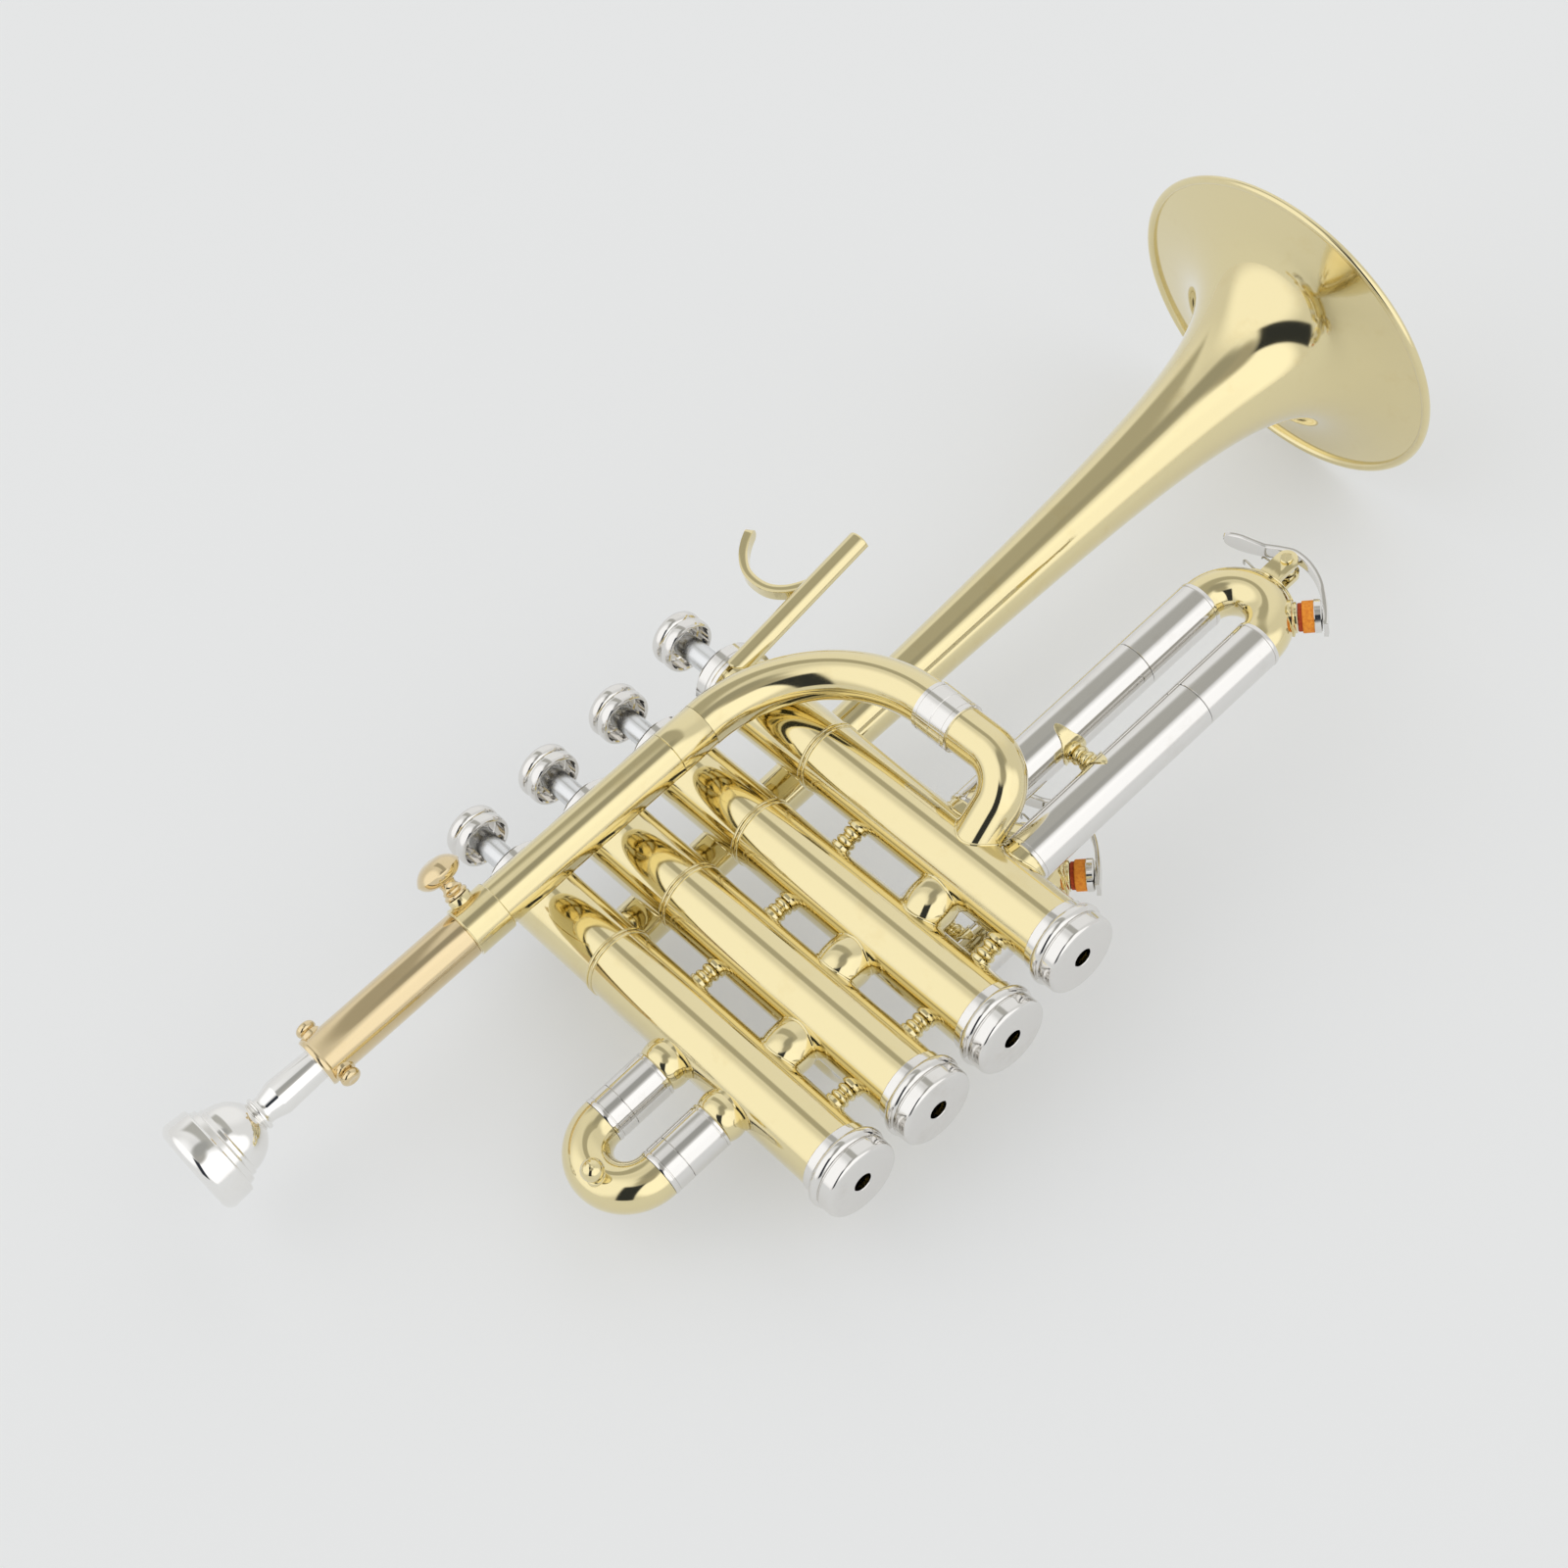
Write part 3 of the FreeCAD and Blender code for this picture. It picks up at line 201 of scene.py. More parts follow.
def walled(piece, thick, side=0.0):
    """Gives a skin its thickness: half to each side, or all of it inwards with side -1."""
    skin = piece.modifiers.new("wall", "SOLIDIFY")
    skin.thickness, skin.offset = thick, side
    bpy.context.view_layer.objects.active = piece
    bpy.ops.object.modifier_apply(modifier="wall")
    return piece


def turned(outline, start, way, around=96):
    """Spins an outline of (along, radius) points round its axis and stands it at start."""
    bpy.ops.object.select_all(action="DESELECT")
    bpy.ops.mesh.primitive_plane_add(size=1)
    piece = bpy.context.object
    bpy.ops.object.mode_set(mode="EDIT")
    bpy.ops.mesh.merge(type="CENTER")
    here = Vector((outline[0][1], 0, outline[0][0]))
    bpy.ops.transform.translate(value=here)
    for along, radius in list(outline[1:]) + [outline[0]]:
        there = Vector((radius, 0, along))
        bpy.ops.mesh.extrude_region_move(TRANSFORM_OT_translate={"value": there - here})
        here = there
    bpy.ops.mesh.select_all(action="SELECT")
    bpy.ops.mesh.remove_doubles(threshold=0.001)
    bpy.ops.mesh.spin(steps=around, angle=math.tau, center=(0, 0, 0), axis=(0, 0, 1))
    faces_out(0.001)
    return settled(piece, aimed(start, way))


def soft_edges(piece, width, degrees=40, parts=2):
    bevel = piece.modifiers.new("edges", "BEVEL")
    bevel.width, bevel.segments, bevel.angle_limit = width, parts, math.radians(degrees)
    bpy.context.view_layer.objects.active = piece
    bpy.ops.object.modifier_apply(modifier="edges")
    return piece


def cut(piece, tools, way="DIFFERENCE"):
    """Cuts a piece with others, which are used up."""
    for tool in tools:
        trim = piece.modifiers.new("trim", "BOOLEAN")
        trim.operation, trim.solver, trim.object = way, "EXACT", tool
        bpy.context.view_layer.objects.active = piece
        bpy.ops.object.modifier_apply(modifier="trim")
        bpy.data.objects.remove(tool, do_unlink=True)
    return piece


def united(pieces):
    bpy.ops.object.select_all(action="DESELECT")
    for piece in pieces:
        piece.select_set(True)
    bpy.context.view_layer.objects.active = pieces[0]
    bpy.ops.object.join()
    return bpy.context.object


def fit(piece, name, finish, slot, body, *nodes, smooth=35):
    """Lays a finished piece on the bench in metres, in its finish, on the body that carries it."""
    bpy.ops.object.select_all(action="DESELECT")
    piece.select_set(True)
    bpy.context.view_layer.objects.active = piece
    settled(piece, lay)
    bpy.ops.object.shade_smooth_by_angle(angle=math.radians(smooth))
    piece.name = piece.data.name = name
    piece.data.materials.clear()
    piece.data.materials.append(finish)
    if nodes:
        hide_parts(*nodes)
    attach(piece, body)
    return piece


def solder(foot, start, way, radius, tube, thick=0.38, narrow=1.0):
    """The fillet of solder where a tube of that radius meets a round tube standing on foot."""
    way = Vector(way).normalized()
    bpy.ops.object.select_all(action="DESELECT")
    bpy.ops.mesh.primitive_circle_add(vertices=96, radius=radius)
    ring = bpy.context.object
    ring.scale.x = narrow
    bpy.ops.object.transform_apply(location=False, rotation=False, scale=True)
    settled(ring, aimed(start, way))
    flat_way = Vector((way.x, way.y, 0)).normalized()
    for corner in ring.data.vertices:
        off = corner.co - foot
        side = Vector((-flat_way.y, flat_way.x, 0)).dot(off)
        deep = math.sqrt(max(tube ** 2 - side ** 2, 0)) - flat_way.dot(off)
        corner.co = corner.co + way * (deep / flat_way.dot(way))
    bpy.ops.object.convert(target="CURVE")
    ring = bpy.context.object
    ring.data.bevel_depth, ring.data.bevel_resolution = thick, 3
    bpy.ops.object.convert(target="MESH")
    return bpy.context.object


def cylinder(start, way, length, radius, around=96):
    bpy.ops.object.select_all(action="DESELECT")
    bpy.ops.mesh.primitive_cylinder_add(vertices=around, radius=radius, depth=length)
    piece = bpy.context.object
    way = Vector(way).normalized()
    return settled(piece, aimed(Vector(start) + way * length / 2, way))


def bore(foot):
    """The inside of a casing, which cuts the end of a tube to the casing's round side."""
    return cylinder(foot, Z, 140, 9.6)


def bead(height, radius, swell, width):
    return [(height - width / 2, radius), (height - width * 0.42, radius + swell * 0.6),
            (height - width * 0.2, radius + swell * 0.95), (height + width * 0.2, radius + swell * 0.95),
            (height + width * 0.42, radius + swell * 0.6), (height + width / 2, radius)]


def bent_tube(corners, bends, radius, wall, around=64, slices=28):
    """Draws a circle on, straight and round bends, and gives it a wall inwards."""
    corners = [Vector(corner) for corner in corners]
    bpy.ops.object.select_all(action="DESELECT")
    ahead = (corners[1] - corners[0]).normalized()
    bpy.ops.mesh.primitive_circle_add(vertices=around, radius=radius)
    piece = settled(bpy.context.object, aimed(corners[0], ahead))
    bpy.ops.object.mode_set(mode="EDIT")
    bpy.ops.mesh.select_all(action="SELECT")
    here = corners[0]
    for before, knee, after, bend in zip(corners, corners[1:], corners[2:], bends):
        back, ahead = (before - knee).normalized(), (after - knee).normalized()
        half = back.angle(ahead) / 2
        reach = bend / math.tan(half)
        if (knee + back * reach - here).length > 0.01:
            bpy.ops.mesh.extrude_region_move(TRANSFORM_OT_translate={"value": knee + back * reach - here})
        bpy.ops.mesh.spin(steps=slices, angle=math.pi - 2 * half, axis=back.cross(ahead),
                          center=knee + (back + ahead).normalized() * bend / math.sin(half))
        here = knee + ahead * reach
    if (corners[-1] - here).length > 0.01:
        bpy.ops.mesh.extrude_region_move(TRANSFORM_OT_translate={"value": corners[-1] - here})
    faces_out(0.001)
    return walled(piece, wall, -1)


slide_1_z, slide_2_z, slide_3_z, slide_4_z = (62.0, 40.1), (52.5, 35.5), (55.5, 34.5), (51.6, 31.0)
slide_3_x, slide_4_x = -20.0, 6.0
stub_routes = [[([feet[0] + Z * z, feet[0] + Z * z - Y * 13.0], []) for z in slide_1_z],
               [([feet[1] + Z * z, feet[1] + Z * z - X * 11.0], []) for z in slide_2_z],
               [([feet[2] + Z * z, Vector((slide_3_x, 52, z)), Vector((slide_3_x, 61, z))], [9.0])
                for z in slide_3_z],
               [([feet[3] + Z * z, feet[3] + Z * z + Y * 11.0], []) for z in slide_4_z]]
for number, foot in enumerate(feet):
    shell = turned([(4.0, casing_bore), (4.0, thread_r), (10.5, thread_r), (10.5, 9.9), (10.6, casing_r)]
                   + bead(93.55, casing_r, 0.37, 0.95) + bead(94.85, casing_r, 0.37, 0.95)
                   + [(129.9, casing_r), (130.0, 9.9), (130.0, thread_r), (133.8, thread_r),
                      (133.8, casing_bore)],
                   foot, Z, 128)
    parts = [shell]
    for corners, bends in stub_routes[number]:
        tube = bent_tube(corners, bends, stub_r, stub_r - bore_r)
        parts.append(cut(tube, [bore(foot)]))
        parts.append(solder(foot, corners[0], corners[1] - corners[0], stub_r - 0.5 * (number == 0),
                            casing_r))
        if number == 0:
            knuckle = ([(7.0, 5.6)] + arc((7.0, 5.6), (11.3, 7.0), (14.1, 6.35), 16)
                       + [(14.4, 6.1), (14.4, 5.8), (7.0, 5.4)])
            parts.append(cut(turned(knuckle, corners[0], corners[1] - corners[0]), [bore(foot)]))
    fit(united(parts), "valve_casing_%d" % (number + 1), brass, "lacquered_brass", "trumpet_body",
        "casing_%d" % (number + 1))


# Three short tubes join the casings. They are swelled in the middle like little barrels, and
# soldered in with a neat fillet at both ends.
barrels = []
for number, height in enumerate((41.0, 48.0, 42.0)):
    start, end = feet[number] + Z * height, feet[number + 1] + Z * height
    length = (end - start).length
    swell = [(length / 2 + off * 0.6, 7.2 - 1.2 * (off * 0.6 / 5.65) ** 2) for off in range(-11, 12)]
    barrel = turned([(swell[0][0], bore_r - 0.6)] + swell + [(swell[-1][0], bore_r - 0.6)], start,
                    end - start)
    barrels.append(cut(barrel, [bore(feet[number]), bore(feet[number + 1])]))
    for foot, place, way in ((feet[number], start, end - start), (feet[number + 1], end, start - end)):
        barrels.append(solder(foot, place, way, 6.85, casing_r, 0.42, 0.9))
fit(united(barrels), "crossovers", brass, "lacquered_brass", "trumpet_body", "crossover_tubes")


# Turned stays tie the casings, the slides' tubes and the bell together: two little balls with a
# groove between them, on round feet that are filed to the tube and soft-soldered.
def stay(start, end, from_r, to_r):
    length = (end - start).length
    a, b = from_r - 1.2, length - to_r + 1.2
    inner, outer = from_r + 0.75, length - to_r - 0.75
    middle, ball = (inner + outer) / 2, (outer - inner) / 4
    outline = [(a, 0.2), (a, 3.0), (inner - 0.35, 3.1), (inner - 0.05, 2.9), (inner, 2.5),
               (inner + 0.1, 1.9)]
    outline += arc((inner + 0.1, 1.9), (inner + ball, 2.85), (middle - 0.25, 2.0), 10)
    outline += arc((middle - 0.25, 2.0), (middle, 2.25), (middle + 0.25, 2.0), 4)
    outline += arc((middle + 0.25, 2.0), (outer - ball, 2.85), (outer - 0.1, 1.9), 10)
    outline += [(outer, 2.5), (outer + 0.05, 2.9), (outer + 0.35, 3.1), (b, 3.0), (b, 0.2)]
    return turned(outline, start, end - start, 48)


bell_x, rim_y, rim_z, axis_fall = -20.0, 280.3, 116.3, 0.0173
mouth_r, tail_r, flare_length, flare_sharpness = 51.2, 6.6, 208.3, 4.0


def bell_axis(y):
    return Vector((bell_x, y, rim_z - (rim_y - y) * axis_fall))


def bell_radius(back):
    power = math.log(mouth_r / tail_r) / math.log(1 + flare_length / flare_sharpness)
    return mouth_r * (flare_sharpness / (flare_sharpness + back)) ** power


stays = [stay(feet[n] + Z * z, feet[n + 1] + Z * z, casing_r, casing_r)
         for n in range(3) for z in (21.0, 73.0)]
for x, y, heights, radius in ((slide_3_x, 70.0, slide_3_z, 6.7), (slide_4_x, 121.0, slide_4_z, 7.0)):
    stays.append(stay(Vector((x, y, heights[0])), Vector((x, y, heights[1])), radius, radius))
for foot in feet[2:]:
    end = bell_axis(foot.y)
    stays.append(stay(Vector((foot.x, foot.y, end.z)), end, casing_r,
                      max(tail_r, bell_radius(rim_y - foot.y - 3.3))))
fit(united(stays), "turned_stays", brass, "lacquered_brass", "trumpet_body", "body_stays")


# Bottom caps, turned in brass and nickel-plated: a plain collar, a proud rounded ring, a groove,
# a smooth drum that rounds over to the flat face, and a drilled vent.
nickel = metal("nickel_plate", (0.805, 0.79, 0.765), (0.65, 0.61, 0.55), 0.3, 0.085, 0.04, 0.04)
for number, foot in enumerate(feet):
    outline = [(1.5, 2.7), (0.15, 2.7), (0.0, 2.85), (0.0, 9.9)] + arc((0.0, 9.9), (0.32, 10.75),
                                                                       (1.25, 11.2), 8)
    outline += [(3.7, 11.3), (3.95, 11.15), (4.1, 10.9), (4.4, 10.9), (4.5, 11.3)]
    outline += arc((4.5, 11.3), (6.0, 12.0), (7.5, 11.3), 10)
    outline += [(7.6, 10.8), (7.75, 10.5), (8.0, 10.35), (8.2, 10.42), (10.3, 10.42), (10.5, 10.25),
                (10.5, 9.42),
                (1.5, 9.42)]
    fit(turned(outline, foot, Z, 128), "bottom_cap_nickel_%d" % (number + 1), nickel, "nickel",
        "trumpet_body",
        "bottom_cap_%d" % (number + 1), smooth=30)


# Top caps, also nickel: a ledge with two lines, a short drum and a dome round the stem's hole.
# A felt ring lies under the roof, where the piston's shoulder meets it.
for number, foot in enumerate(feet):
    outline = [(130.0, 9.42), (130.0, 11.05), (130.15, 11.2), (131.0, 11.2), (131.15, 11.0), (131.35, 11.0),
               (131.5, 11.2), (132.4, 11.2), (132.6, 11.0), (132.7, 10.55), (132.95, 10.55), (133.1, 10.8),
               (136.0, 10.8)]
    outline += arc((136.0, 10.8), (137.45, 9.3), (138.05, 6.9), 8)
    outline += [(138.2, 6.4), (138.2, 5.2), (138.05, 5.0), (137.9, 3.9), (137.8, 3.56), (136.0, 3.56),
                (136.0, 9.42)]
    fit(turned(outline, foot, Z, 128), "top_cap_nickel_%d" % (number + 1), nickel, "nickel", "trumpet_body",
        "top_cap_%d" % (number + 1), smooth=30)


# Finger buttons: nickel, hollow below, with a rounded upper ring, a groove, and a lower ring with
# a thick lip. The player's finger rests on a shallow crown.
for number, foot in enumerate(feet):
    outline = [(151.0, 7.0), (151.0, 7.3), (151.2, 7.7), (151.6, 7.95), (152.2, 8.1), (153.6, 8.1),
               (154.1, 7.95),
               (154.4, 7.6), (154.6, 7.35), (154.9, 7.35), (155.1, 7.6), (155.5, 7.95)]
    outline += arc((155.5, 7.95), (157.0, 8.2), (158.5, 7.6), 6) + [(158.75, 7.1), (158.7, 6.6),
                                                                    (158.6, 6.2), (158.75, 5.7)]
    outline += arc((158.75, 5.7), (159.1, 3.5), (159.4, 0.05), 6)
    outline += [(156.9, 0.05), (156.9, 1.62), (153.9, 1.62), (153.9, 3.6), (154.1, 3.9), (155.5, 4.2),
                (155.8, 4.6),
                (155.8, 6.3), (155.5, 6.7), (151.4, 6.7)]
    fit(turned(outline, foot, Z), "finger_button_%d" % (number + 1), nickel, "nickel",
        "valve_%d" % (number + 1), "button_%d" % (number + 1), smooth=30)


# The return springs: steel wire coiled between the guide, which stays, and the barrel's roof,
# which comes down with the button, so each spring is squeezed towards its foot.
steel = metal("spring_wire", (0.60, 0.595, 0.57), (0.44, 0.40, 0.34), 0.3, 0.2, 0.05, 0.05)
for number, foot in enumerate(feet):
    bpy.ops.object.select_all(action="DESELECT")
    bpy.ops.mesh.primitive_circle_add(vertices=10, radius=0.4, location=(5.5, 0, 0),
                                      rotation=(math.pi / 2, 0, 0))
    coil_wire = bpy.context.object
    bpy.ops.object.transform_apply()
    coil = coil_wire.modifiers.new("coil", "SCREW")
    coil.angle, coil.screw_offset, coil.iterations = math.tau, 3.62, 10
    coil.steps = coil.render_steps = 40
    coil.use_merge_vertices = True
    bpy.ops.object.modifier_apply(modifier="coil")
    coil_wire.matrix_world = Matrix.Translation(foot + Z * 95.3)
    bpy.ops.object.transform_apply()
    name = "return_spring_%d" % (number + 1)
    fit(coil_wire, name, steel, "spring_steel", "trumpet_body", "valve_spring_%d" % (number + 1))
    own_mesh(bpy.data.objects[name])


# The tuning slides. Nickel sleeves with a small ring at each end run over brass legs; past the
# seam the leg's own end sleeve carries the half-round brass bow, soldered in.
def sleeve(foot, way, start, seam, radius):
    outline = [(start, 6.05), (start, radius - 0.15), (start + 0.15, radius + 0.05),
               (start + 0.85, radius + 0.05),
               (start + 0.95, radius - 0.22), (start + 1.2, radius - 0.22), (start + 1.32, radius),
               (seam - 0.12, radius), (seam, radius - 0.14), (seam, 6.05)]
    return turned(outline, foot, way)


def slide_leg(foot, way, start, seam, bow, radius):
    outline = [(start + 0.1, bore_r), (start + 0.1, 6.0), (seam + 0.1, 6.0), (seam + 0.1, radius - 0.14),
               (seam + 0.22, radius), (bow - 1.75, radius), (bow - 1.65, radius - 0.2),
               (bow - 1.4, radius - 0.2),
               (bow - 1.28, radius + 0.05), (bow - 0.5, radius + 0.05), (bow - 0.15, radius - 0.1),
               (bow, radius - 0.4), (bow, bore_r)]
    return turned(outline, foot, way)


bow_tube_r = 6.6
slides = [(Vector((0, 0, 0)), -Y, slide_1_z, 14.5, 26.5, 33.0, 13.0, 6.7),
          (Vector((0, 26, 0)), -X, slide_2_z, 11.0, 16.6, 17.6, 11.0, 6.7),
          (Vector((slide_3_x, 0, 0)), Y, slide_3_z, 61.0, 80.0, 90.3, 61.0, 6.7),
          (Vector((slide_4_x, 0, 0)), Y, slide_4_z, 89.0, 151.2, 177.0, 95.0, 7.0)]
sleeves = []
for number, (foot, way, heights, start, seam, reach, leg_start, radius) in enumerate(slides, 1):
    sleeves += [sleeve(foot + Z * z, way, start, seam, radius) for z in heights]
    legs = []
    for z in heights:
        leg = slide_leg(foot + Z * z, way, leg_start, seam, reach, radius) if number != 2 else turned(
            [(leg_start + 0.1, bore_r), (leg_start + 0.1, 6.0), (seam + 0.1, 6.0), (seam + 0.1, radius),
             (reach - 0.1, radius), (reach, radius - 0.2), (reach, bore_r)], foot + Z * z, way)
        legs.append(leg)
    fit(united(legs), "slide_tubes_%d" % number, nickel, "nickel", "slide_%d" % number,
        "slide_legs_%d" % number)
    half = (heights[0] - heights[1]) / 2
    low, high = foot + way * reach + Z * heights[1], foot + way * reach + Z * heights[0]
    curve = bent_tube([low, low + way * half, high + way * half, high], [half - 0.001, half - 0.001],
                      tube_r if number == 2 else bow_tube_r, 0.5 if number == 2 else bow_tube_r - bore_r)
    fit(curve, "slide_bow_tube_%d" % number, brass, "lacquered_brass", "slide_%d" % number,
        "slide_bow_%d" % number)
fit(united(sleeves), "sleeves", nickel, "nickel", "trumpet_body", "slide_sleeves")


# The first slide's pull knob, turned from brass: a ball on a narrow neck. Its flat foot is soft-
# soldered to the top of the bow.
outline = [(5.2, 0.05), (5.2, 2.6), (6.55, 2.6), (6.8, 2.45), (6.95, 2.1), (7.1, 1.45)]
outline += arc((7.1, 1.45), (9.6, 3.1), (12.7, 0.9), 14) + [(13.05, 0.5), (13.1, 0.05)]
fit(turned(outline, Vector((0, -44.8, 48.2)), X, 48), "pull_ball", brass, "lacquered_brass", "slide_1",
    "slide_1_knob")


# Feet of the long slides' stays: thin saddle plates, cut to a rounded diamond and bent round
# the sleeves, which spread the solder over more of the tube.
def saddle(middle, radius, out, length, width, thick=0.55):
    bpy.ops.object.select_all(action="DESELECT")
    bpy.ops.mesh.primitive_circle_add(vertices=48, radius=1, fill_type="TRIFAN")
    plate = bpy.context.object
    bpy.ops.object.mode_set(mode="EDIT")
    bpy.ops.mesh.select_all(action="SELECT")
    bpy.ops.mesh.subdivide(number_cuts=5)
    bpy.ops.object.mode_set(mode="OBJECT")
    side = X if abs(out.z) > 0.5 else Z
    for corner in plate.data.vertices:
        s, t = corner.co.x, corner.co.y
        pull = 1 - 0.24 * math.sin(2 * math.atan2(t, s)) ** 2
        angle = s * pull * length / radius
        corner.co = (middle + (out * math.cos(angle) + side * math.sin(angle)) * radius
                     + Y * (t * pull * width))
    walled(plate, thick)
    faces_out()
    return soft_edges(plate, 0.16, 50)


plates = []
for x, y, heights, radius in ((slide_3_x, 70.0, slide_3_z, 6.7), (slide_4_x, 121.0, slide_4_z, 7.0)):
    plates.append(saddle(Vector((x, y, heights[0])), radius + 0.2, -Z, 10.4, 4.0))
    plates.append(saddle(Vector((x, y, heights[1])), radius + 0.2, Z, 10.4, 4.0))
fit(united(plates), "stay_saddles", brass, "lacquered_brass", "trumpet_body")


# Water keys on the third and fourth slides: a nickel lever bent from strip with a spoon for the
# thumb, rocking on a screw between the cheeks of a brass post, its spring on the same screw. At
# the other end a cup holds the orange cork over the drain nipple.
def soft(name, colour, dark, grain, depth):
    finish = bpy.data.materials.new(name)
    finish.use_nodes = True
    nodes, link = finish.node_tree.nodes, finish.node_tree.links.new
    shader = nodes["Principled BSDF"]
    place = nodes.new("ShaderNodeTexCoord")
    speckle = nodes.new("ShaderNodeTexNoise")
    speckle.inputs["Scale"].default_value = grain
    speckle.inputs["Detail"].default_value = 6
    shade = nodes.new("ShaderNodeValToRGB")
    shade.color_ramp.elements[0].position, shade.color_ramp.elements[1].position = 0.35, 0.62
    shade.color_ramp.elements[0].color = (*dark, 1)
    shade.color_ramp.elements[1].color = (*colour, 1)
    bump = nodes.new("ShaderNodeBump")
    bump.inputs["Distance"].default_value = depth
    link(place.outputs["Object"], speckle.inputs["Vector"])
    link(speckle.outputs["Fac"], shade.inputs["Fac"])
    link(shade.outputs["Color"], shader.inputs["Base Color"])
    link(speckle.outputs["Fac"], bump.inputs["Height"])
    link(bump.outputs["Normal"], shader.inputs["Normal"])
    shader.inputs["Roughness"].default_value = 0.85
    return finish


cork_orange = soft("cork_orange", (0.95, 0.36, 0.035), (0.80, 0.23, 0.02), 1400, 0.00008)
# Dark red painted shade for the cork's foot: the shadow in the gap between the orange pad and the nipple,
# painted into the foot's colour.
cork_painted_shade = soft("cork_painted_shade", (0.52, 0.07, 0.01), (0.36, 0.04, 0.008), 1400, 0.00008)


def on_curve(points, share):
    """A place on the smooth curve through those points."""
    whole = share * (len(points) - 1)
    step = min(int(whole), len(points) - 2)
    t = whole - step
    row = [Vector(points[max(0, min(len(points) - 1, step + shift))]) for shift in (-1, 0, 1, 2)]
    return 0.5 * (2 * row[1] + (row[2] - row[0]) * t
                  + (2 * row[0] - 5 * row[1] + 4 * row[2] - row[3]) * t ** 2
                  + (3 * row[1] - row[0] - 3 * row[2] + row[3]) * t ** 3)


def strip(points, half_width, thick, across, along=90, sag=0.0):
    """A plate bent along a curve; half_width gives its half width at each share of the length."""
    bpy.ops.object.select_all(action="DESELECT")
    bpy.ops.mesh.primitive_grid_add(x_subdivisions=10, y_subdivisions=along, size=2)
    plate = bpy.context.object
    for corner in plate.data.vertices:
        share = (corner.co.y + 1) / 2
        before, after = max(share - 0.005, 0), min(share + 0.005, 1)
        away = across.cross((on_curve(points, after) - on_curve(points, before)).normalized())
        lean = corner.co.x
        corner.co = (on_curve(points, share) + across * (lean * half_width(share))
                     + away * (sag * (1 - lean ** 2) * half_width(share)))
    walled(plate, thick)
    faces_out(0.0005)
    return soft_edges(plate, thick * 0.28, 50)


def wire(points, radius, order=3):
    line = bpy.data.curves.new("wire", "CURVE")
    line.dimensions, line.bevel_depth, line.bevel_resolution = "3D", radius, 4
    line.use_fill_caps = True
    run = line.splines.new("NURBS")
    run.points.add(len(points) - 1)
    for knot, place in zip(run.points, points):
        knot.co = (*place, 1)
    run.order_u, run.use_endpoint_u, run.resolution_u = order, True, 12
    piece = bpy.data.objects.new("wire", line)
    bpy.context.scene.collection.objects.link(piece)
    bpy.ops.object.select_all(action="DESELECT")
    piece.select_set(True)
    bpy.context.view_layer.objects.active = piece
    bpy.ops.object.convert(target="MESH")
    return bpy.context.object


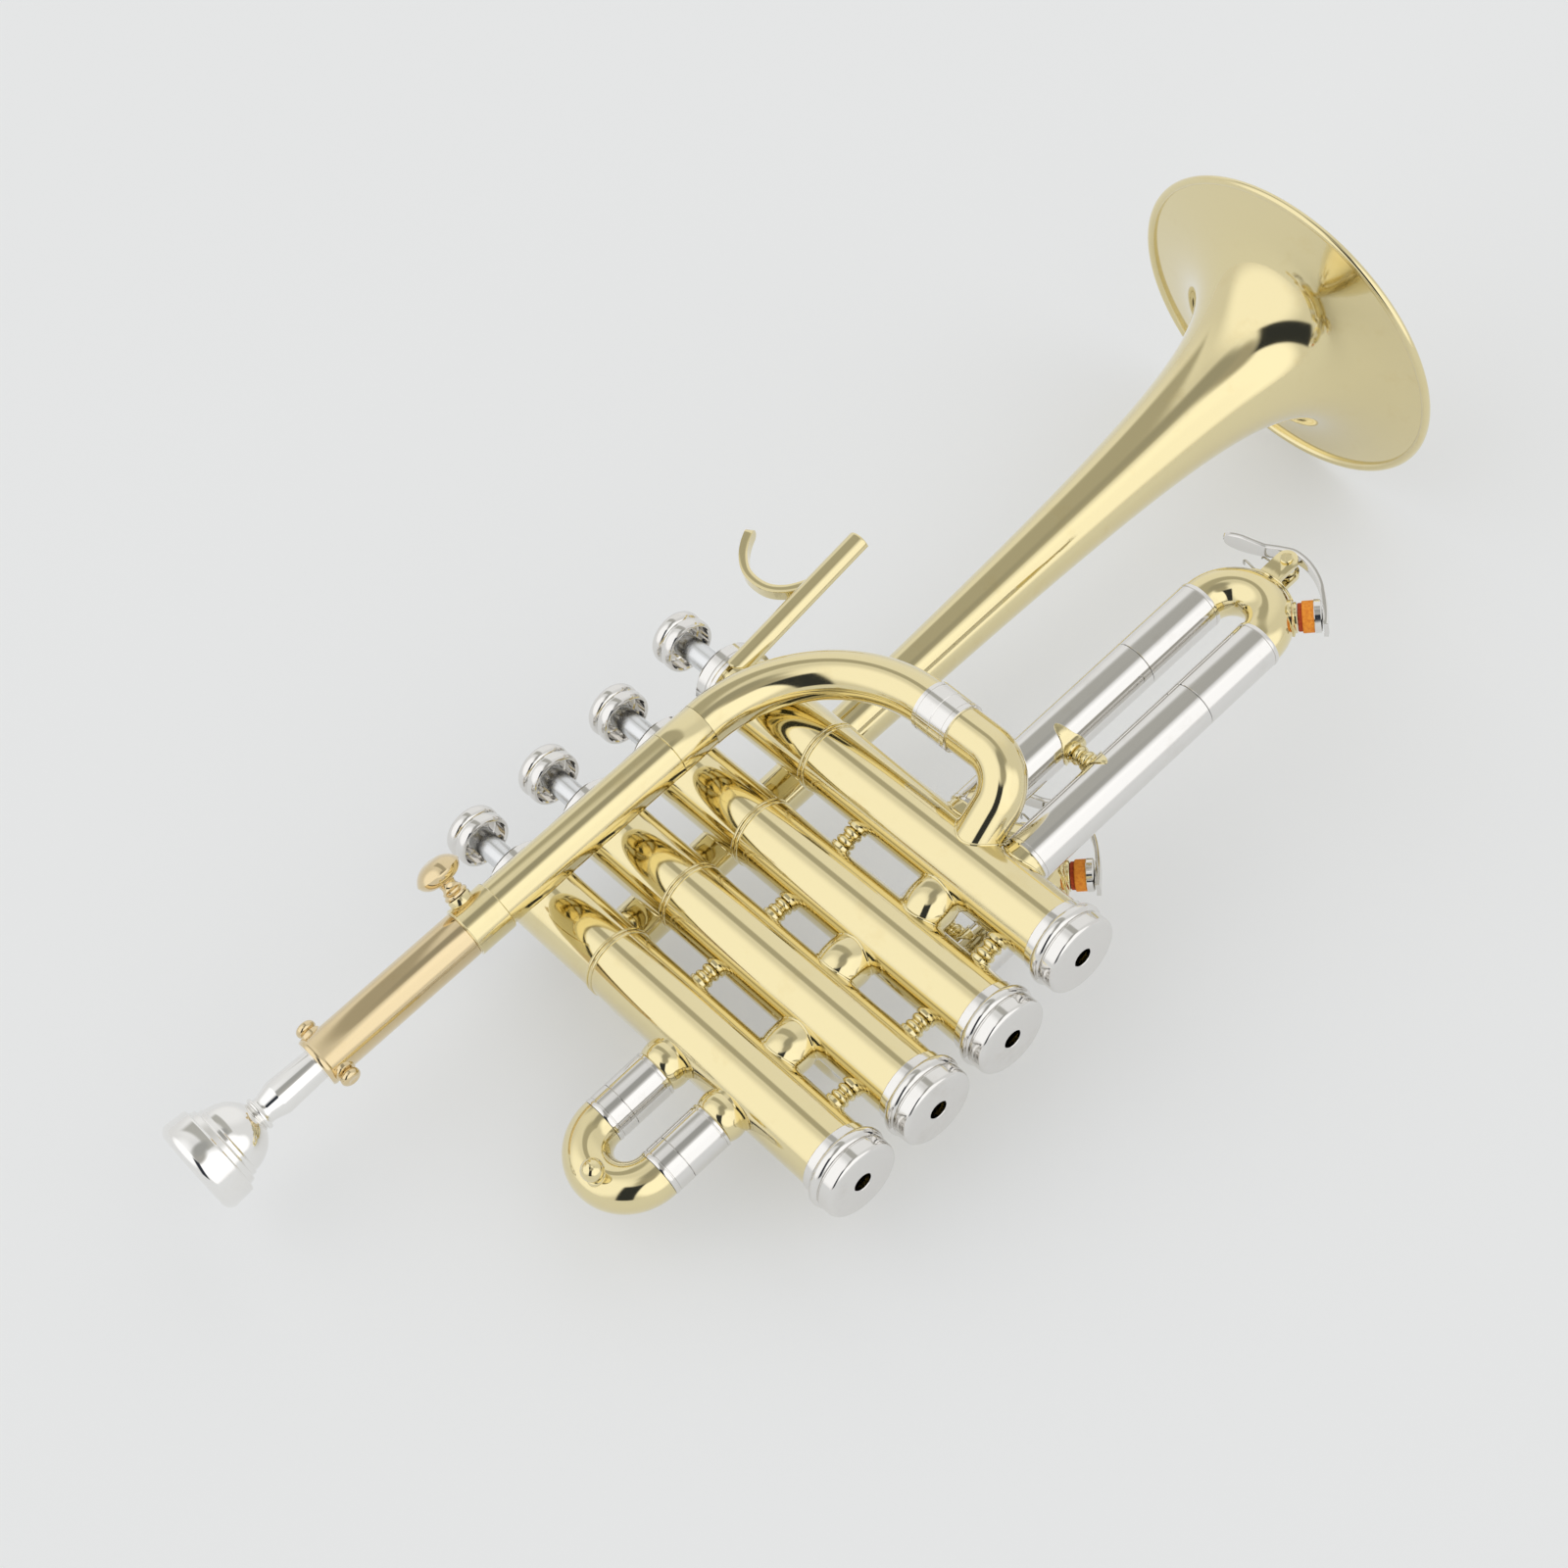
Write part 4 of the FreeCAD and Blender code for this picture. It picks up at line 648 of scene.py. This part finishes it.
cup_turn = math.radians(-46.0)
cup_way = Y * math.cos(cup_turn) + Z * math.sin(cup_turn)
for number, x, reach, heights in ((3, slide_3_x, 90.3, slide_3_z), (4, slide_4_x, 177.0, slide_4_z)):
    middle = Vector((x, reach, sum(heights) / 2))
    pivot = middle + Y * 23.0 + Z * 0.6

    def spot(along, height, aside=0.0):
        return middle + Y * along + Z * height + X * aside

    def half_width(share):
        spoon = 3.0 * math.sqrt(max(0.0, 1 - ((share - 0.135) / 0.135) ** 2)) if share < 0.135 else 3.0
        if share > 0.135:
            spoon = 2.2 + 0.8 * max(0.0, 1 - (share - 0.135) / 0.14)
        return max(0.05, spoon + 0.5 * max(0.0, (share - 0.78) / 0.22))

    route = [spot(20.0, 20.7), spot(21.6, 15.4), spot(23.4, 9.5), spot(25.7, 4.9), spot(27.1, 1.0),
             spot(26.4, -4.6), spot(23.6, -10.6), spot(18.6, -16.6), spot(13.6, -21.2)]
    lever = strip(route, half_width, 1.2, X, sag=0.10)
    hub = soft_edges(turned([(-1.5, 1.0), (-1.5, 2.2), (1.5, 2.2), (1.5, 1.0)], pivot, X, 48), 0.15)
    web = strip([pivot + Y * 1.6, pivot + Y * 2.4 + Z * 0.1, pivot + Y * 3.6 + Z * 0.3], lambda share: 1.4,
                1.6, X, 6)
    cup_foot = middle + cup_way * 22.4
    cup = turned([(-0.5, 4.1), (-0.5, 4.45), (-0.35, 4.55), (1.2, 4.5), (1.5, 4.1), (1.6, 2.0), (1.75, 1.6),
                  (1.75, 0.05), (0.0, 0.05), (0.0, 4.1)], cup_foot, cup_way, 64)
    fit(united([lever, hub, web, cup]), "key_lever_%d" % number, nickel, "nickel", "water_key_%d" % number,
        "water_key_%d" % number)

    start = middle + cup_way * 17.6
    # The cork's foot beside the nipple takes the dark red painted shade, and the rest of the cork is orange.
    fit(turned([(0.0, 0.05), (0.0, 3.5), (0.2, 3.8), (1.25, 3.8), (1.25, 0.05)], start, cup_way, 64),
        "cork_foot_%d" % number, cork_painted_shade, "cork", "water_key_%d" % number, "water_key_cork_%d" % number)
    fit(turned([(1.2, 0.05), (1.2, 4.1), (1.4, 4.3), (4.2, 4.3), (4.75, 4.05), (4.75, 0.05)], start,
               cup_way, 64),
        "cork_body_%d" % number, cork_orange, "cork", "water_key_%d" % number, "water_key_cork_%d" % number)

    cheeks = []
    for side in (-1, 1):
        bpy.ops.object.select_all(action="DESELECT")
        bpy.ops.mesh.primitive_cylinder_add(vertices=64, radius=3.1, depth=1.7)
        cheek = settled(bpy.context.object, aimed(pivot + X * (side * 2.65), X))
        for corner in cheek.data.vertices:
            if corner.co.y < pivot.y - 0.01:
                corner.co.y = pivot.y - 6.6
        hole = cylinder(pivot - X * 5, X, 10, 0.93, 48)
        cheeks.append(soft_edges(cut(cheek, [hole]), 0.16, 45))
    bridge = turned([(-1.9, 0.05), (-1.9, 3.0), (1.9, 3.0), (1.9, 0.05)], pivot - Y * 6.2, X, 32)
    nipple = turned([(13.6, 2.0), (13.6, 4.9), (16.1, 4.9), (16.35, 4.6), (16.4, 4.25), (16.7, 4.1),
                     (16.8, 4.2), (17.3, 4.2), (17.5, 4.05), (17.5, 2.1), (17.4, 2.0)], middle, cup_way, 64)
    bow_r = (heights[0] - heights[1]) / 2
    for part in (bridge, nipple):
        bpy.ops.object.select_all(action="DESELECT")
        bpy.ops.mesh.primitive_torus_add(major_segments=96, minor_segments=48, major_radius=bow_r,
                                         minor_radius=bow_tube_r - 0.1)
        cut(part, [settled(bpy.context.object,
                           Matrix.Translation(middle) @ Matrix.Rotation(math.pi / 2, 4, "Y"))])

    bpy.ops.object.select_all(action="DESELECT")
    bpy.ops.mesh.primitive_grid_add(x_subdivisions=14, y_subdivisions=70, size=2)
    sole = bpy.context.object
    for corner in sole.data.vertices:
        share = (corner.co.y + 1) / 2
        round_way = math.radians(30 - 92 * share)
        spread = (0.16 + 0.60 * math.exp(-((share - 0.30) / 0.17) ** 2)
                  + 0.72 * math.exp(-((share - 0.84) / 0.13) ** 2))
        lean = corner.co.x * min(spread, 0.82)
        out = Y * math.cos(round_way) + Z * math.sin(round_way)
        corner.co = middle + out * bow_r + (out * math.cos(lean) + X * math.sin(lean)) * (bow_tube_r + 0.3)
    walled(sole, 0.7)
    faces_out()
    soft_edges(sole, 0.2, 50)
    fit(united(cheeks + [bridge, nipple, sole]), "key_post_%d" % number, brass, "lacquered_brass",
        "slide_%d" % number, "water_key_post_%d" % number)

    head = turned([(-4.5, 0.05), (-4.5, 0.9), (3.5, 0.9), (3.5, 1.55), (3.65, 1.7), (4.0, 1.7), (4.2, 1.45),
                   (4.2, 0.05)], pivot, X, 48)
    bpy.ops.object.select_all(action="DESELECT")
    bpy.ops.mesh.primitive_cube_add(size=1)
    across = Matrix.Rotation(0.6, 4, "X") @ Matrix.Diagonal((0.8, 5, 0.45, 1))
    slot = settled(bpy.context.object, Matrix.Translation(pivot + X * 4.3) @ across)
    fit(cut(head, [slot]), "key_screw_%d" % number, brass, "nickel", "slide_%d" % number,
        "water_key_screw_%d" % number)

    loops = [pivot + X * (-3.9 - 0.75 * step / 16) + (Z * math.cos(step * math.tau / 16) - Y * math.sin(
        step * math.tau / 16)) * 1.35 for step in range(0, 41)]
    tail = [spot(21.0, 3.4, -5.2), spot(18.6, 6.2, -3.6), spot(18.2, 8.8, -1.8), spot(18.1, 10.6, -0.4),
            spot(17.8, 11.3, 0.0), spot(17.0, 10.9, 0.1), spot(16.6, 10.0, 0.2)]
    leg = [spot(21.9, 8.6, -1.4), spot(22.6, 9.0, -1.6), spot(23.2, 7.6, -2.6), spot(23.4, 4.4, -3.8)]
    fit(wire(loops + tail, 0.3, 4), "key_spring_%d" % number, steel, "spring_steel", "slide_%d" % number,
        "water_key_spring_%d" % number)
    fit(wire(leg + loops[:1], 0.3, 4), "key_spring_leg_%d" % number, steel, "spring_steel",
        "water_key_%d" % number)


# The bell is one thin brass skin, hammered and spun to its flare. Its edge is rolled over a wire,
# and its tail goes through a crook with a ferrule, down past the first valve and into its side.
rim, tail_end = bell_axis(rim_y), bell_axis(16.0)
back = (tail_end - rim).normalized()
reach = (tail_end - rim).length
steps_back = [flare_length * (step / 44) ** 2.3 for step in range(45)]
skin_points = [(step_back, bell_radius(step_back)) for step_back in steps_back]
inner_points = []
for index, (along, radius) in enumerate(skin_points):
    before, after = skin_points[max(index - 1, 0)], skin_points[min(index + 1, 44)]
    slope = Vector((after[0] - before[0], after[1] - before[1])).normalized()
    inner_points.append((along + slope.y * 0.5, radius - slope.x * 0.5))
outline = skin_points + [(reach, tail_r), (reach, tail_r - 0.5)] + inner_points[::-1]
fit(turned(outline, rim, back, 224), "bell_flare", brass, "lacquered_brass", "trumpet_body", "bell",
    smooth=50)
outline = [(1.3 * math.sin(step * math.tau / 20), 52.5 + 1.3 * math.cos(step * math.tau / 20))
           for step in range(20)]
fit(turned(outline, rim, back, 224), "rolled_rim", brass, "lacquered_brass", "trumpet_body",
    "bell_rim_wire")

crook_z = 54.0
crook = bent_tube([tail_end, bell_axis(0), Vector((bell_x, 0, crook_z)), Z * crook_z], [15.0, 9.5],
                  tail_r, 0.9)
cut(crook, [bore(feet[0])])
band = turned([(-9.0, 6.62), (-9.0, 7.0), (-8.85, 7.2), (-7.6, 7.2), (-7.45, 7.0), (-7.2, 7.0),
               (-7.05, 7.2), (1.6, 7.2), (1.75, 7.0), (2.0, 7.0), (2.15, 7.2), (2.85, 7.2), (3.0, 7.05),
               (3.0, 6.62)], tail_end, back)
fit(united([crook, band, solder(feet[0], Z * crook_z, -X, tail_r, casing_r)]), "crook", brass,
    "lacquered_brass", "trumpet_body", "bell_crook")


# The leadpipe, drawn brass: a straight tube, a great bend with its joint lines, a nickel ferrule,
# and an elbow that turns into the side of the fourth valve.
lead_x, lead_z, lead_r, leg_y = 22.8, 117.3, 6.65, 100.9


def lead(y):
    return Vector((lead_x, y, lead_z))


fit(turned([(-25.8, 6.05), (-25.8, 6.55), (-25.7, lead_r), (45.55, lead_r), (45.7, 6.5), (45.7, 6.05)],
           lead(0), Y),
    "lead_tube", brass, "lacquered_brass", "trumpet_body", "leadpipe_tube")
joint = turned([(45.75, bore_r), (45.75, 6.5), (45.9, lead_r), (57.3, lead_r), (57.4, 6.58),
                (57.4, bore_r)], lead(0), Y)
sweep = bent_tube([lead(57.45), lead(leg_y), Vector((lead_x, leg_y, 74.3))], [42.8], lead_r,
                  lead_r - bore_r, slices=40)
fit(united([joint, sweep]), "lead_bend", brass, "lacquered_brass", "trumpet_body", "leadpipe_bend")
outline = [(62.3, bore_r), (62.3, 6.95), (62.45, 7.2), (63.5, 7.2), (63.6, 7.02), (63.85, 7.02),
           (63.95, 7.2), (67.9, 7.2), (68.0, 7.1), (68.2, 7.1), (68.3, 7.2), (72.65, 7.2), (72.75, 7.02),
           (73.0, 7.02), (73.1, 7.2), (74.15, 7.2), (74.3, 6.95), (74.3, bore_r)]
fit(turned(outline, Vector((lead_x, leg_y, 0)), Z), "lead_ferrule", nickel, "nickel", "trumpet_body",
    "leadpipe_ferrule")
elbow_z = 42.5
elbow_end = feet[3] + Vector((1.0, -0.5, elbow_z))
elbow = bent_tube([Vector((lead_x, leg_y, 62.3)), Vector((lead_x, leg_y, elbow_z)), elbow_end], [11.0],
                  stub_r, stub_r - bore_r)
cut(elbow, [bore(feet[3])])
out = Vector((lead_x - 1.0, leg_y + 0.5, 0)) - feet[3]
fit(united([elbow, solder(feet[3], elbow_end, out, stub_r, casing_r)]), "lead_elbow", brass,
    "lacquered_brass", "trumpet_body", "leadpipe_elbow")


# The sliding shank is a separate tube of redder brass that the mouthpiece goes into. Its end has
# a rounded lip, and two little ball knobs on collars to pull it by.
gold = metal("warm_brass", (0.755, 0.60, 0.335), (0.66, 0.46, 0.18), 0.25, 0.09, 0.05, 0.04, 0.9, 0.04)
knob_seat = lead_r + 0.75
outline = [(-75.6, 4.4), (-75.6, 6.75)] + arc((-75.6, 6.75), (-74.8, 7.15), (-74.0, 7.0), 8)
outline += [(-73.8, 6.75), (-73.6, lead_r), (-26.1, lead_r), (-25.95, 6.5), (-25.95, 6.0), (10.0, 6.0),
            (10.0, 4.1),
            (-49.6, 4.1)]
shank = [turned(outline, lead(0), Y)]
for degrees in (75.0, -100.0):
    way = Z * math.sin(math.radians(degrees)) + X * math.cos(math.radians(degrees))
    outline = [(5.6, 0.05), (5.6, 3.0), (lead_r + 0.3, 3.0), (lead_r + 0.55, 2.85), (lead_r + 0.8, 2.2),
               (lead_r + 0.9, 1.9)]
    outline += arc((lead_r + 0.9, 1.9), (lead_r + 1.75, 2.75), (lead_r + 3.35, 0.7),
                   12) + [(lead_r + 3.4, 0.05)]
    shank.append(turned(outline, lead(-71.6), way, 48))
fit(united(shank), "sliding_shank", gold, "lacquered_brass", "shank", "leadpipe_shank")


# A split collar clamps the shank in the leadpipe. Its thumb screw has a flared foot, a thin neck
# and a head like a thick lens.
screw_way = (X + Z).normalized()
collar = turned([(-25.6, 6.68), (-25.6, 7.15), (-25.45, 7.3), (-14.8, 7.3), (-14.6, 7.15), (-14.5, 6.9),
                 (-14.5, 6.68)],
                lead(0), Y)
boss = cut(turned([(5.0, 1.9), (5.0, 3.3), (8.3, 3.3), (8.6, 3.1), (8.7, 2.8), (8.7, 1.9)], lead(-21.0),
                  screw_way, 64),
           [cylinder(lead(-40), Y, 40, 6.68)])
fit(united([collar, boss]), "clamp_ring", brass, "lacquered_brass", "trumpet_body", "clamp_collar")
outline = [(7.0, 0.05), (7.0, 1.8), (8.8, 1.8), (8.8, 3.0), (9.0, 3.35), (9.5, 3.4), (9.9, 3.1),
           (10.2, 2.7), (10.5, 2.9),
           (10.9, 2.9), (11.2, 2.5), (11.8, 2.2), (12.6, 2.2), (13.2, 2.5), (13.5, 3.1)]
outline += arc((13.5, 3.1), (14.4, 5.3), (16.6, 6.6), 12) + arc((16.6, 6.6), (19.0, 4.6), (20.0, 0.05), 18)
fit(turned(outline, lead(-21.0), screw_way, 64), "thumb_screw", gold, "lacquered_brass", "clamp_screw",
    "clamp_screw")


# The mouthpiece, turned in one piece and silver-plated: a heavy rim, a stepped ring, a round bowl,
# a beaded neck that opens to the shank, and the bored cup and throat.
silver = metal("silver_plate", (0.90, 0.89, 0.87), (0.74, 0.71, 0.62), 0.15, 0.06, 0.03, 0.02)
outline = [(1.6, 8.3)] + arc((1.6, 8.3), (0.0, 10.6), (1.9, 13.3), 14)
outline += [(2.4, 13.4), (7.7, 13.05), (8.15, 12.9), (8.4, 12.55), (8.4, 11.9), (8.5, 11.7), (9.9, 11.35),
            (10.1, 11.1),
            (10.2, 10.6), (10.45, 10.45), (11.3, 10.45), (11.6, 10.2), (11.75, 9.95)]
outline += arc((11.75, 9.95), (16.6, 8.35), (20.2, 4.3), 20)
outline += [(20.5, 4.0), (20.7, 3.95)] + arc((20.7, 3.95), (21.4, 4.75), (22.1, 3.95), 8)
outline += [(22.4, 3.75), (22.9, 3.7), (23.6, 3.8), (27.2, 4.85), (27.6, 4.9), (39.9, 4.42), (64.9, 3.98),
            (64.9, 3.1),
            (14.0, 1.8), (11.0, 1.8)]
outline += arc((11.0, 1.8), (8.0, 5.2), (1.6, 8.3), 14)[:-1]
fit(turned(outline, lead(-115.5), Y, 128), "silver_mouthpiece", silver, "silver_plate", "mouthpiece",
    "mouthpiece",
    smooth=28)


# The finger hook: a trough of half-round brass along the fourth valve, rounded where it is
# soldered down, with a flat hook bent up from it for the little finger.
low, high = Vector((19.5, 75.5, 125.7)), Vector((19.5, 127.8, 131.0))
along = (high - low).normalized()
side = along.cross(X)
bpy.ops.object.select_all(action="DESELECT")
bpy.ops.mesh.primitive_grid_add(x_subdivisions=24, y_subdivisions=80, size=2)
trough = bpy.context.object
for corner in trough.data.vertices:
    lean, share = corner.co.x * math.radians(88), (corner.co.y + 1) / 2
    start = 4.2 * (1 - math.cos(lean)) * (1 - share) ** 6
    corner.co = low + along * (start + (high - low).length * share * (1 - start / 60)) + (
        X * math.cos(lean) + side * math.sin(lean)) * 2.95
walled(trough, 0.9)
faces_out()
soft_edges(trough, 0.2, 50)
bend = [Vector((18.0, y, z)) for y, z in (
    (112.0, 130.6), (107.5, 132.6), (103.6, 135.4), (101.0, 139.4), (100.3, 144.2), (101.2, 148.9),
    (104.0, 153.2), (107.6, 156.4), (111.9, 158.9))]
hook = strip(bend, lambda share: 1.8 - 1.2 * max(0.0, (share - 0.95) / 0.05) ** 2, 2.5, X, 100)
fit(united([trough, hook]), "little_finger_hook", brass, "lacquered_brass", "trumpet_body", "finger_hook")


# The pistons with their stems, the guides and the felts below the caps show as the solids that
# they are: satin nickel stems, and black felt. Every other solid gets the metal of its own piece.
satin = metal("satin_stem", (0.76, 0.77, 0.78), (0.60, 0.61, 0.62), 0.3, 0.25, 0.05, 0.10)
cork = soft("cork_pad", (0.55, 0.22, 0.055), (0.30, 0.09, 0.025), 900, 0.0003)
felt = soft("felt_ring", (0.05, 0.05, 0.055), (0.02, 0.02, 0.022), 1600, 0.0004)
finishes = {"lacquered_brass": brass, "nickel": nickel, "silver_plate": silver, "valve_metal": satin,
            "spring_steel": steel, "felt": felt, "cork": cork}
for name, node in frame["nodes"].items():
    for place in node.material_slots:
        known = [finish for key, finish in finishes.items() if place.material and key in place.material.name]
        place.material = known[0] if known else brass
for name in ("leadpipe_shank", "clamp_screw", "slide_1_knob"):
    for place in frame["nodes"][name].material_slots:
        place.material = gold


# The camera stands where the photograph was taken, above and to the right of the mouthpiece, and
# sees the trumpet from the side of its bottom caps.
sight_right = turn @ Vector((-0.20344, 0.72083, -0.66258)).normalized()
sight_ahead = turn @ Vector((-0.81275, 0.25301, 0.52481)).normalized()
sight_up = sight_right.cross(sight_ahead)
lens = bpy.data.cameras.new("camera")
lens.lens, lens.sensor_width = 63.93, 36.0
lens.clip_start, lens.clip_end = 0.05, 20.0
camera = bpy.data.objects.new("camera", lens)
camera.matrix_world = Matrix.Translation(lay @ Vector((606.354, -122.512, -290.417))) @ Matrix(
    (sight_right, sight_up, -sight_ahead)).transposed().to_4x4()
bpy.context.scene.collection.objects.link(camera)
bpy.context.scene.camera = camera
bpy.context.scene.view_settings.view_transform = "Standard"

# The studio: a pale sheet of board under the trumpet, and a white room that lights it evenly, with
# one dark gap overhead and a dark stand beside the camera that the polished metal mirrors.
bpy.ops.object.select_all(action="DESELECT")
bpy.ops.mesh.primitive_plane_add(size=6.0, location=(0, 0, 0))
board = bpy.context.object
board.name = "board"
board_paint = bpy.data.materials.new("board_paint")
board_paint.use_nodes = True
paint_nodes, paint_link = board_paint.node_tree.nodes, board_paint.node_tree.links.new
coat = paint_nodes["Principled BSDF"]
coat.inputs["Base Color"].default_value = (0.94, 0.945, 0.945, 1)
coat.inputs["Roughness"].default_value = 0.7
coat.inputs["Specular IOR Level"].default_value = 0.1
glow = paint_nodes.new("ShaderNodeEmission")
glow.inputs["Color"].default_value = (0.775, 0.79, 0.80, 1)
ray = paint_nodes.new("ShaderNodeLightPath")
seen = paint_nodes.new("ShaderNodeMath")
seen.operation = "MAXIMUM"
paint_link(ray.outputs["Is Camera Ray"], seen.inputs[0])
paint_link(ray.outputs["Is Glossy Ray"], seen.inputs[1])
share = paint_nodes.new("ShaderNodeMath")
share.operation = "MULTIPLY"
share.inputs[1].default_value = 0.45
paint_link(seen.outputs[0], share.inputs[0])
both = paint_nodes.new("ShaderNodeMixShader")
paint_link(share.outputs[0], both.inputs["Fac"])
paint_link(coat.outputs["BSDF"], both.inputs[1])
paint_link(glow.outputs["Emission"], both.inputs[2])
paint_link(both.outputs["Shader"], paint_nodes["Material Output"].inputs["Surface"])
board.data.materials.append(board_paint)


def towards(azimuth, elevation):
    flat, height = math.radians(azimuth), math.radians(elevation)
    return Vector((math.cos(flat) * math.cos(height), math.sin(flat) * math.cos(height), math.sin(height)))


def make_room():
    room = bpy.data.worlds.new("room")
    room.use_nodes = True
    bpy.context.scene.world = room
    nodes, link = room.node_tree.nodes, room.node_tree.links.new
    look = nodes.new("ShaderNodeTexCoord")

    def math_node(kind, first, second):
        step = nodes.new("ShaderNodeMath")
        step.operation = kind
        for socket, value in zip(step.inputs, (first, second)):
            if isinstance(value, (int, float)):
                socket.default_value = value
            else:
                link(value, socket)
        return step.outputs[0]

    def along(direction):
        dot = nodes.new("ShaderNodeVectorMath")
        dot.operation = "DOT_PRODUCT"
        link(look.outputs["Generated"], dot.inputs[0])
        dot.inputs[1].default_value = direction
        return dot.outputs["Value"]

    def fade(value, start, end):
        edge = nodes.new("ShaderNodeMapRange")
        edge.interpolation_type = "SMOOTHSTEP"
        link(value, edge.inputs["Value"])
        edge.inputs["From Min"].default_value, edge.inputs["From Max"].default_value = start, end
        return edge.outputs["Result"]

    def patch(azimuth, elevation, half, soft_edge):
        """A round patch of the room seen in that direction."""
        return fade(along(towards(azimuth, elevation)), math.cos(math.radians(half + soft_edge)),
                    math.cos(math.radians(half - soft_edge)))

    def paint(under, mask, level):
        layer = nodes.new("ShaderNodeMix")
        layer.data_type = "RGBA"
        link(mask, layer.inputs["Factor"])
        if isinstance(under, tuple):
            layer.inputs[6].default_value = (*under, 1)
        else:
            link(under, layer.inputs[6])
        layer.inputs[7].default_value = (*level, 1)
        return layer.outputs[2]

    white = paint((0.77, 0.77, 0.76), patch(138, 38, 34, 14), (0.90, 0.90, 0.89))
    white = paint(white, patch(-8, 34, 33, 8), (1.25, 1.25, 1.25))
    white = paint(white, patch(22, 24, 20, 8), (1.20, 1.20, 1.20))
    white = paint(white, patch(-112, 36, 36, 10), (1.14, 1.14, 1.14))
    tilt = math.radians(11)
    gap = fade(math_node("ABSOLUTE", along(Vector((0, math.cos(tilt), -math.sin(tilt)))), 0),
               math.sin(math.radians(9.5)),
               math.sin(math.radians(5.0)))
    reach_x = math_node("MULTIPLY", fade(along(Vector((1, 0, 0))), -0.93, -0.80),
                        fade(along(Vector((1, 0, 0))), 0.36, 0.26))
    white = paint(white, math_node("MULTIPLY", math_node("MULTIPLY", gap, reach_x),
                                   fade(along(Vector((0, 0, 1))), 0.0, 0.2)),
                  (0.46, 0.455, 0.42))
    white = paint(white, patch(-35, 67, 12, 5), (0.42, 0.41, 0.38))
    white = paint(white, patch(-30, 84, 12, 5), (0.37, 0.37, 0.35))
    side = fade(math_node("ABSOLUTE", along(towards(33, 0)), 0), math.sin(math.radians(14)),
                math.sin(math.radians(10)))
    tall = math_node("MULTIPLY", fade(along(Vector((0, 0, 1))), -0.02, 0.06),
                     fade(along(Vector((0, 0, 1))), 0.87, 0.80))
    front = fade(along(towards(-57, 0)), 0.25, 0.32)
    white = paint(white, math_node("MULTIPLY", math_node("MULTIPLY", side, tall), front),
                  (0.035, 0.04, 0.05))
    ray = nodes.new("ShaderNodeLightPath")
    white = paint(white, ray.outputs["Is Camera Ray"], (0.775, 0.79, 0.80))
    link(white, nodes["Background"].inputs["Color"])


make_room()
